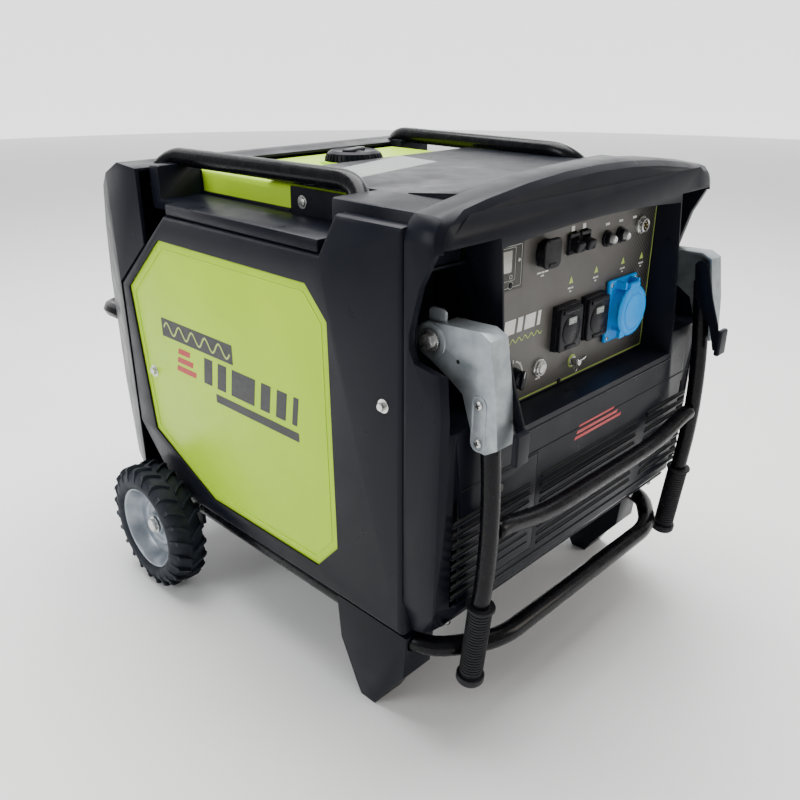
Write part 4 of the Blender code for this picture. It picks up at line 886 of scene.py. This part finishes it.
def grips():
    for side, name in SIDES:
        start, end = Vector((side * ARM_X, -0.4225, 0.2130)), Vector((side * ARM_X, -0.4105, 0.0985))
        along = (end - start).normalized()
        tilt = along.to_track_quat("Z", "Y").to_euler()
        lean = tilt.to_matrix().to_4x4()
        flange = turned([(0.011, 0), (0.0168, 0), (0.0174, 0.0012), (0.0174, 0.0030), (0.0150, 0.0045),
                         (0.011, 0.0045)], 40)
        flange.transform(Matrix.Translation(start) @ lean)
        cap = turned([(0, 0), (0.0168, 0), (0.0172, 0.0010), (0.0172, 0.0080), (0.0160, 0.0100),
                      (0, 0.0100)], 40)
        cap.transform(Matrix.Translation(end - along * 0.0095) @ lean)
        groove = turned([(0.0125, -0.0013), (0.0143, -0.0011), (0.0147, 0.0), (0.0143, 0.0011),
                         (0.0125, 0.0013)], 32)
        count = 22
        pitch = (end - start).length * 0.80 / count
        ribs = row(groove, count, rubber, tuple(start + along * 0.010), tuple(along * pitch), tuple(tilt))
        grip = joined(tube([start, end], 0.0132, around=32), flange, cap, ribs)
        replacing(name + "_grip", name + "_grip_look", grip, rubber, "handle", 40)
        low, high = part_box(name + "_lock_lever")
        ridge = slab(rounded((high.x - low.x) * 0.80, 0.0016, 0.0006, 2), 0.0014, 0.0005, 2)
        tip = ((low.x + high.x) / 2, low.y + 0.0017, low.z + 0.008)
        ridges = row(stand(ridge, (0, 0, 0)), 7, rubber, tip, (0, 0, 0.0044))
        made(name + "_lever_ribs", ridges, rubber, name + "_lever")


# ---------------------------------------------------------------- wheels
def on_tread(level, along, across, radius):
    """Point at this distance from the axle, so far along and across the tread."""
    return (level * math.cos(along / radius), level * math.sin(along / radius), across)


def lug_pair(way, half, radius, tread):
    """A slanted tread lug and its shoulder block, on one side of the tyre."""
    path = [(0.0012, 0.000, 0.0052), (0.010, 0.0075, 0.0056), (0.019, 0.0125, 0.0062),
            (half - 0.0035, 0.0140, 0.0068)]
    rows = []
    for across, along, width in path:
        crown = radius - (0.0 if across < 0.021 else 0.0030)
        foot = tread - 0.003 - (0.0 if across < 0.021 else 0.004)
        edge, top = width / 2, width / 2 - 0.0006
        corners = ((-edge, foot), (-top, crown), (top, crown), (edge, foot))
        rows.append([on_tread(level, along + offset, way * across, radius) for offset, level in corners])
    steps = ((half - 0.0045, radius - 0.0045), (half - 0.0006, radius - 0.016),
             (half - 0.0002, radius - 0.0225))
    corners = ((-0.0036, -0.0022), (-0.0030, 0.0001), (0.0030, 0.0001), (0.0036, -0.0022))
    block_rows = [
        [on_tread(level, 0.0140 + offset, way * (across + rise), radius) for offset, rise in corners]
        for across, level in steps
    ]
    shift = Matrix.Rotation(0.0 if way > 0 else math.tau / 48, 4, "Z")
    pair = [loft(rows), loft(block_rows)]
    for mesh in pair:
        mesh.transform(shift)
    return pair


def wheels():
    for side, name in SIDES:
        low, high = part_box(name + "_tyre")
        centre = (low + high) / 2
        half, radius = (high.x - low.x) / 2, (high.z - low.z) / 2
        seat, tread = radius * 0.66, radius - 0.0055
        wall = [
            (seat, half - 0.005), (seat + 0.004, half - 0.0015), (seat + 0.010, half - 0.0002),
            (radius - 0.021, half - 0.0006), (radius - 0.013, half - 0.0030), (tread - 0.003, half - 0.0070),
            (tread, half - 0.013),
        ]
        carcass = turned(wall + [(tread + 0.0004, 0)] + [(r, -across) for r, across in reversed(wall)], 96)
        lugs = lug_pair(-1, half, radius, tread) + lug_pair(1, half, radius, tread)
        tyre = stand(joined(carcass, *[around(lug, 24, tyre_rubber) for lug in lugs]), centre, name)
        replacing(name + "_tyre", name + "_tyre_look", tyre, tyre_rubber, name + "_wheel", 40)
        edge, lip = seat - 0.0003, half - 0.005
        rim = turned([
            (edge - 0.0030, lip), (edge - 0.0008, lip + 0.0008), (edge, lip - 0.0004), (edge, -lip),
            (edge - 0.004, -lip), (edge - 0.010, 0.0), (0.026, -0.006), (0.018, -half + 0.006),
            (0.0092, -half + 0.006), (0.0092, half - 0.0225), (0.0165, half - 0.0220), (0.0180, half - 0.0235),
            (0.0185, 0.0030), (0.0215, 0.0010), (0.030, 0.0005), (0.0335, 0.0025), (0.0365, 0.0025),
            (0.0400, 0.0002), (edge - 0.016, 0.0015), (edge - 0.011, 0.0070), (edge - 0.0062, lip - 0.004),
        ], 96)
        stand(rim, centre, name)
        replacing(name + "_rim", name + "_rim_look", rim, rim_silver, name + "_wheel", 30)
        nut_place = (side * (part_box("axle")[1].x - 0.0062), centre.y, centre.z)
        nut = stand(hex_bolt(0.017, 0.0055, 0.0135), nut_place, name, 0.2)
        made(name + "_axle_nut", nut, bolt_steel, "casing", 30)


# ---------------------------------------------------------------- control panel
def on_panel(x, z, forward=0.0):
    return (x, PANEL_FACE - forward, z)


def ring_mesh(outer, inner, height, round_edge=0.0004, steps=40):
    return turned([(inner, 0), (outer, 0), (outer, height - round_edge), (outer - round_edge, height),
                   (inner + round_edge, height), (inner, height - round_edge)], steps)


def dashes(name, x, z, widths, height=0.0022, gap=0.0014, lean=0.0):
    """A plain caption: a short row of even dashes."""
    outlines, at = [], -(sum(widths) + gap * (len(widths) - 1)) / 2
    for width in widths:
        outlines.append(bar(at, 0, width, height, lean))
        at += width + gap
    printed(name, outlines, on_panel(x, z), white_ink)


def panel_markings():
    line, edge = 0.0016, PANEL_HALF - 0.001
    foot = PANEL_BOTTOM + 0.002
    bottom = [(-edge, foot), (edge, foot), (edge, foot + line), (-edge, foot + line)]
    right = [(edge - line, foot), (edge, foot), (edge, PANEL_TOP - 0.014), (edge - line, PANEL_TOP - 0.014)]
    printed("panel_line", [bottom, right], on_panel(0, 0), lime_ink)
    shares = [1 - 2 * i / 24 for i in range(25)]
    top = [(PANEL_HALF * share, PANEL_TOP - 0.0075 + 0.0072 * (1 - share ** 2)) for share in shares]
    # Painted shade: a dark band along the panel's top edge, where the cover overhangs it.
    printed("panel_top_gap", [band(top, 0.0013)], on_panel(0, 0, 0.0001), painted_shade)
    put_screws("panel_screw", [on_panel(-0.016, 0.6150), on_panel(-0.019, 0.4105)], "casing", radius=0.0036,
               height=0.0016, finish=outlet_black)
    widths = (0.0095, 0.0200, 0.0095, 0.0200, 0.0060)
    dashes("row_of_bars", -0.112, 0.4985, widths, 0.0175, 0.0048, lean=0.0022)
    wave = [(-0.137 + 0.072 * i / 90, 0.4890 + 0.0026 * math.sin(math.tau * 6 * i / 90)) for i in range(91)]
    printed("panel_wave", [band(wave, 0.0012)], on_panel(0, 0), lime_ink)
    for k, (x, z) in enumerate(((-0.009, 0.5370), (0.047, 0.5400), (0.112, 0.5400), (0.160, 0.5390))):
        triangle = [(-0.0046, 0), (0.0046, 0), (0, 0.0086)]
        printed(f"caution_{k + 1}", [triangle], on_panel(x, z), lime_ink)
        dashes(f"outlet_caption_{k + 1}", x, z - 0.0070, (0.0060, 0.0040), 0.0020)
        dashes(f"outlet_rating_{k + 1}", x, z - 0.0112, (0.0042,), 0.0018)
    dashes("dc_caption", -0.071, 0.5610, (0.0075, 0.0050, 0.0065), 0.0020)
    dashes("dc_rating", -0.071, 0.5570, (0.0060,), 0.0018)
    for k, x in enumerate((-0.014, 0.010)):
        printed(f"breaker_tag_{k + 1}", [rounded(0.0068, 0.0062, 0.0005, 1)], on_panel(x, 0.6045), white_ink)
    for k, x in enumerate((0.064, 0.096, 0.130)):
        dashes(f"reset_caption_{k + 1}", x, 0.5975, (0.0035, 0.0035), 0.0030)
    x, z = -0.118, 0.4435
    printed("selector_arc", [band(arc((x, z), 0.0190, 75, -20, 24), 0.0022)], on_panel(0, 0), label_pale)
    ticks = [
        band([(x + r * math.cos(a), z + r * math.sin(a)) for r in (0.0175, 0.0215)], 0.0012)
        for a in (math.radians(d) for d in (135, 90, 45, 0, -45))
    ]
    printed("selector_ticks", ticks, on_panel(0, 0), white_ink)
    dashes("start_caption", -0.066, 0.4265, (0.0050, 0.0030), 0.0022)


def display():
    x, z = -0.150, 0.580
    softened("display_module", 0.0016, bezel_grey, "casing", 3)
    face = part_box("display_module")[0].y
    printed("display_frame", [outlined(0.0665, 0.0470, 0.0015, 0.0006)], (x, face, z), label_pale)
    inner_place = (x - 0.003, face, z + 0.003)
    printed("display_inner_frame", [outlined(0.0500, 0.0370, 0.001, 0.0005)], inner_place, label_pale)
    glass = slab(rounded(0.0385, 0.0245, 0.0012, 3), 0.0006, 0.0003, 2)
    made("display_screen", stand(glass, (x - 0.004, face, z + 0.0065)), screen, "casing")
    for k, offset in enumerate((-0.018, -0.001, 0.015), 1):
        mark = [outlined(0.0048, 0.0036, 0.0008, 0.0006)]
        printed(f"display_icon_{k}", mark, (x + offset, face, z - 0.0115), label_pale)
        place = (x + offset, face, z - 0.021)
        button = turned([(0, -0.0030), (0.0034, -0.0030), (0.0034, 0.0006), (0.0029, 0.0013), (0.0012, 0.0016),
                         (0, 0.0016)], 28)
        replacing(f"display_button_{k}", f"display_button_{k}_look", stand(button, place), outlet_black,
                  f"button_{k}")
        ring = stand(ring_mesh(0.0046, 0.0041, 0.0003, 0.0001), place)
        made(f"display_button_ring_{k}", ring, label_pale, "casing")
    lamp = turned([(0, 0), (0.0022, 0), (0.0021, 0.0007), (0.0012, 0.0014), (0, 0.0016)], 24)
    made("display_lamp", stand(lamp, (x + 0.0285, face, z + 0.006)), clear_cap, "casing")


def dc_socket():
    softened("dc_outlet", 0.0006, outlet_black, "casing", 2)
    low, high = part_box("dc_outlet_cover")
    width, height, depth = high.x - low.x, high.z - low.z, high.y - low.y
    flap = slab(rounded(width, height, 0.0085, 6), depth, 0.0010, 3)
    lip = moved(slab(capsule(0.0150, 0.0042), 0.0016, 0.0007, 2), 0, -height / 2 + 0.0045, depth - 0.0004)
    hinge = rod(0.0110, height / 2 - 0.0022, 0.0024, 0.0021, 16)
    look = stand(joined(flap, lip, hinge), ((low.x + high.x) / 2, high.y, (low.z + high.z) / 2))
    replacing("dc_outlet_cover", "dc_flap_look", look, rubber, "dc_flap")


def breakers():
    for x, name in ((-0.014, "main"), (0.010, "outlet")):
        softened(name + "_breaker_toggle", 0.0020, outlet_black, name + "_toggle", 3)
        outer, inner = rounded(0.0215, 0.0250, 0.0015, 3), rounded(0.0172, 0.0160, 0.0008, 3)
        guard = frame_through((outer, 0.0), (outer, 0.0036), (shrunk(outer, 0.0008), 0.0044), (inner, 0.0040),
                              (inner, 0.0))
        made(name + "_breaker_frame", stand(guard, on_panel(x, 0.587)), outlet_black, "casing")


def resets():
    for name, x in (("left", 0.064), ("right", 0.096)):
        place = on_panel(x, 0.581)
        collar = joined(ring_mesh(0.0105, 0.0056, 0.0030), ring_mesh(0.0082, 0.0056, 0.0085))
        made(name + "_reset_collar", stand(collar, place), outlet_black, "casing")
        body = turned([(0, -0.0110), (0.0047, -0.0110), (0.0047, 0.0128), (0.0040, 0.0140), (0.0020, 0.0137),
                       (0, 0.0137)], 32)
        edges = rib(*((0.0044, 0.0051, 0.0004, 0.0003, h) for h in (0.0050, 0.0128)))
        look = stand(joined(body, around(edges, 20, clear_cap)), place)
        replacing(name + "_reset_button", name + "_reset_look", look, clear_cap, name + "_reset")
    place = on_panel(0.147, 0.587)
    connector = joined(ring_mesh(0.0120, 0.0070, 0.0035), ring_mesh(0.0095, 0.0070, 0.0090, 0.0008))
    made("round_connector", stand(connector, place), bolt_steel, "casing", 30)
    plug = turned([(0, 0), (0.0070, 0), (0.0070, 0.0060), (0.0060, 0.0066), (0, 0.0066)], 32)
    made("round_connector_cap", stand(plug, place), outlet_black, "casing")
    pin = moved(turned([(0, 0.0060), (0.0008, 0.0060), (0.0008, 0.0082), (0, 0.0086)], 10), 0.0036, 0, 0)
    made("round_connector_pins", stand(around(pin, 4, brass_contact), place), brass_contact, "casing")


def household_outlets():
    for name, x in (("left", -0.019), ("right", 0.043)):
        softened(name + "_household_outlet", 0.0018, outlet_black, "casing", 3)
        low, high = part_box(name + "_household_lid")
        width, height, depth = high.x - low.x, high.z - low.z, high.y - low.y
        outlet_body = name + "_outlet_lid"
        lid = slab(rounded(width, height, 0.0050, 5), depth * 0.72, 0.0016, 3)
        disc = turned([(0, depth * 0.60), (0.0185, depth * 0.60), (0.0190, depth * 0.84),
                       (0.0180, depth * 0.93), (0, depth * 0.93)], 48)
        hump = rod(width * 0.40, height / 2 - 0.0040, depth * 0.58, 0.0036)
        thumb = moved(slab(capsule(width * 0.46, 0.0046), depth, 0.0012, 3), 0, -height / 2 + 0.0046, 0)
        x_mid, z_mid = (low.x + high.x) / 2, (low.z + high.z) / 2
        look = stand(joined(lid, moved(disc, 0, -0.0015, 0), hump, thumb), (x_mid, high.y, z_mid))
        replacing(name + "_household_lid", name + "_household_lid_look", look, outlet_black, outlet_body)
        crest = high.y - depth * 0.93
        window = slab(rounded(0.0170, 0.0085, 0.0008, 2), 0.0004, 0.0001, 1)
        stand(window, (x_mid, crest + 0.0001, z_mid + 0.0105))
        made(name + "_lid_window", window, label_grey, outlet_body)
        marks = [rounded(0.0120, 0.0012, 0.0003, 1, (0, 0.0014)),
                 rounded(0.0080, 0.0012, 0.0003, 1, (-0.002, -0.0014))]
        printed(name + "_lid_window_lines", marks, (x_mid, crest - 0.0003, z_mid + 0.0105), label_pale,
                outlet_body)


def blue_socket():
    softened("industrial_outlet", 0.0016, socket_blue, "casing", 3)
    low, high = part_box("industrial_outlet")
    x, z = (low.x + high.x) / 2, (low.z + high.z) / 2
    corners = [(x + sx * 0.0292, PANEL_FACE - 0.0058, z + sz * 0.0365) for sx in (-1, 1) for sz in (-1, 1)]
    put_screws("blue_socket_screw", corners, "casing", radius=0.0028, height=0.0014)
    low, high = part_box("industrial_lid")
    depth = high.y - low.y
    lid = turned([(0, 0), (0.0340, 0), (0.0345, 0.0012), (0.0345, 0.0026), (0.0330, 0.0046), (0.0290, 0.0062),
                  (0.0265, 0.0064), (0.0255, 0.0055), (0.0240, 0.0055), (0.0225, 0.0068), (0.0120, 0.0078),
                  (0, depth)], 72)
    knuckle = rod(0.0125, 0.0345, 0.0010, 0.0042)
    web = slab(rounded(0.0220, 0.0130, 0.0020, 3, (0, 0.0290)), 0.0046, 0.0010, 2)
    tab = slab(rounded(0.0140, 0.0110, 0.0028, 4, (-0.0215, -0.0275)), 0.0046, 0.0012, 3)
    look = stand(joined(lid, knuckle, web, tab), (x, high.y, (low.z + high.z) / 2))
    replacing("industrial_lid", "blue_lid_look", look, socket_blue, "blue_outlet_lid")
    ears = [
        stand(slab(rounded(0.0055, 0.0110, 0.0020, 3), 0.0150, 0.0016, 2),
              (x + s * 0.0158, PANEL_FACE - 0.0050, z + 0.0355))
        for s in (-1, 1)
    ]
    made("blue_hinge_ears", joined(*ears), socket_blue, "casing")


def lower_controls():
    place, spin = on_panel(-0.118, 0.4435, 0.0003), math.radians(80)
    knob = turned([(0, -0.0115), (0.0038, -0.0115), (0.0038, 0), (0.0122, 0), (0.0126, 0.0020),
                   (0.0112, 0.0040), (0.0104, 0.0120), (0.0090, 0.0135), (0, 0.0135)], 48)
    edges = rib(*((r - 0.0012, r + 0.0004, 0.0009, 0.0006, h) for r, h in ((0.0112, 0.0032), (0.0103, 0.0128))))
    grip = moved(slab(capsule(0.0235, 0.0070), 0.0034, 0.0012, 3), 0, 0, 0.0132)
    look = stand(joined(knob, around(edges, 22, outlet_black), grip), place, spin=spin)
    replacing("selector_knob", "selector_knob_look", look, outlet_black, "selector")
    pointer = moved(slab(rounded(0.0080, 0.0012, 0.0004, 2, (0.0070, 0)), 0.0003, 0.0001, 1), 0, 0, 0.0165)
    made("selector_pointer", stand(pointer, place, spin=spin), white_ink, "selector")
    place = on_panel(-0.066, 0.442)
    rings = joined(ring_mesh(0.0118, 0.0074, 0.0030, 0.0008), ring_mesh(0.0098, 0.0074, 0.0062, 0.0009))
    made("start_ring", stand(rings, place), bolt_steel, "casing", 30)
    button = turned([(0, -0.0115), (0.0070, -0.0115), (0.0070, 0.0066), (0.0064, 0.0076), (0.0040, 0.0084),
                     (0, 0.0085)], 40)
    replacing("start_button", "start_button_look", stand(button, place), clear_cap, "start")
    place = on_panel(0.008, 0.431)
    made("earth_ring", stand(ring_mesh(0.0088, 0.0055, 0.0006, 0.0002), place), lime_ink, "casing")
    made("earth_washer", stand(ring_mesh(0.0068, 0.0034, 0.0022, 0.0003), place), bolt_steel, "casing")
    hub = turned([(0, 0.0040), (0.0052, 0.0040), (0.0046, 0.0110), (0.0036, 0.0125), (0, 0.0125)], 28)
    wings = []
    for way in (0.0, math.pi):
        wing = loft([
            [(reach, -thick, low), (reach, thick, low), (reach, thick, high), (reach, -thick, high)]
            for reach, thick, low, high in (
                (0.0030, 0.0012, 0.0055, 0.0110), (0.0085, 0.0011, 0.0078, 0.0140),
                (0.0120, 0.0009, 0.0110, 0.0148), (0.0133, 0.0006, 0.0126, 0.0142),
            )
        ])
        wing.transform(Matrix.Rotation(way, 4, "Z"))
        wings.append(wing)
    look = stand(joined(hub, *wings), place, spin=math.radians(35))
    replacing("ground_wing_nut", "wing_nut_look", look, bolt_steel, "wing_nut", 40)


# ---------------------------------------------------------------- rear and underside
def rear_details():
    y = CASE_REAR
    for name, x, z, count in (("upper", 0.0, 0.520, 7), ("lower", 0.080, 0.318, 6)):
        # Each rear slot is a flush sheet of painted shade under a rounded lip.
        slot = stand(slab(capsule(0.200, 0.0068), 0.0006, 0.0002, 1), (0, -0.0002, 0), "rear")
        lip = stand(slab(capsule(0.204, 0.0040), 0.0024, 0.0010, 2), (0, -0.0002, -0.0054), "rear")
        start, step = (x, y + 0.0001, z), (0, 0, -0.0165)
        made(name + "_rear_slots", row(slot, count, painted_shade, start, step), painted_shade, "casing")
        made(name + "_rear_lips", row(lip, count, moulded_black, start, step), moulded_black, "casing")
    ring = ring_mesh(0.0330, 0.0190, 0.0040, 0.0012)
    made("exhaust_ring", stand(ring, (-0.130, y - 0.0002, 0.320), "rear"), cast_metal, "casing")
    places = [(sx * 0.222, y - 0.0004, z) for sx in (-1, 1) for z in (0.290, 0.440)]
    put_screws("rear_screw", places, "casing", "rear", 0.0048, 0.0026)


# ---------------------------------------------------------------- plain pieces of the frame
INSIDE = {
    "engine_block": cast_metal, "muffler": cast_metal, "alternator_stator": cast_metal,
    "flywheel_fan_rotor": cast_metal, "inverter_module": bezel_black, "starter_battery": bezel_black,
    "control_panel": panel_plate,
}


def finish_frame():
    """Gives the frame's own pieces that still show their finish."""
    for name, finish in INSIDE.items():
        node = NODES[name]
        node.data.materials.clear()
        node.data.materials.append(finish.material)


# ---------------------------------------------------------------- the whole
casing_shells()
lower_front()
side_details()
top_details()
bars_and_tubes()
brackets()
grips()
wheels()
panel_markings()
display()
dc_socket()
breakers()
resets()
household_outlets()
blue_socket()
lower_controls()
rear_details()
finish_frame()


# ---------------------------------------------------------------- studio
def lamp(name, place, aim, size, power, colour=(1.0, 1.0, 1.0)):
    data = bpy.data.lights.new(name, "AREA")
    data.shape = "RECTANGLE"
    data.size, data.size_y = size
    data.energy = power
    data.color = colour
    obj = linked(name, data)
    obj.location = place
    obj.rotation_euler = (Vector(aim) - Vector(place)).to_track_quat("-Z", "Y").to_euler()


def staged(name, points, faces, roughness, dark, light, cloud):
    """A pale surface of the studio, which is no part of the object."""
    mesh = bpy.data.meshes.new(name)
    mesh.from_pydata(points, [], faces)
    finish = Finish("pale_" + name, roughness).dress((dark,) * 3, (light,) * 3, (cloud,))
    mesh.materials.append(finish.material)
    linked(name, mesh)
    return finish


floor_corners = [(x, y, -0.0005) for x, y in ((-9, -9), (9, -9), (9, 9), (-9, 9))]
staged("floor", floor_corners, [(0, 1, 2, 3)], 0.75, 0.86, 0.90, 3.0)
wall_line = arc((0.0, 0.0), 8.0, -20, 110, 26)
count = len(wall_line)
backdrop = staged(
    "backdrop", [(x, y, z) for z in (-0.001, 7.0) for x, y in wall_line],
    [(i, i + 1, count + i + 1, count + i) for i in range(count - 1)], 0.9, 0.90, 0.94, 0.5,
)
backdrop.shader.inputs["Emission Color"].default_value = (1.0, 1.0, 1.0, 1.0)
backdrop.shader.inputs["Emission Strength"].default_value = 1.3

world = bpy.data.worlds.new("studio")
world.use_nodes = True
world.node_tree.nodes["Background"].inputs["Color"].default_value = (1.0, 1.0, 1.0, 1.0)
world.node_tree.nodes["Background"].inputs["Strength"].default_value = 0.42
bpy.context.scene.world = world
lamp("top_light", (0.4, 0.5, 3.0), (0, 0, 0.3), (2.6, 2.6), 210)
lamp("front_light", (1.6, -2.6, 1.4), (0, -0.3, 0.45), (0.9, 1.6), 26, (1.0, 0.93, 0.84))
lamp("left_light", (-2.8, 0.6, 1.5), (0, 0, 0.40), (1.2, 1.4), 34, (0.95, 0.98, 1.0))

camera = linked("camera", bpy.data.cameras.new("camera"))
camera.data.lens = 36.45
camera.location = (-0.846, -0.891, 0.80)
camera.rotation_euler = tuple(math.radians(a) for a in (66.6, 0.0, -45.4))
bpy.context.scene.camera = camera
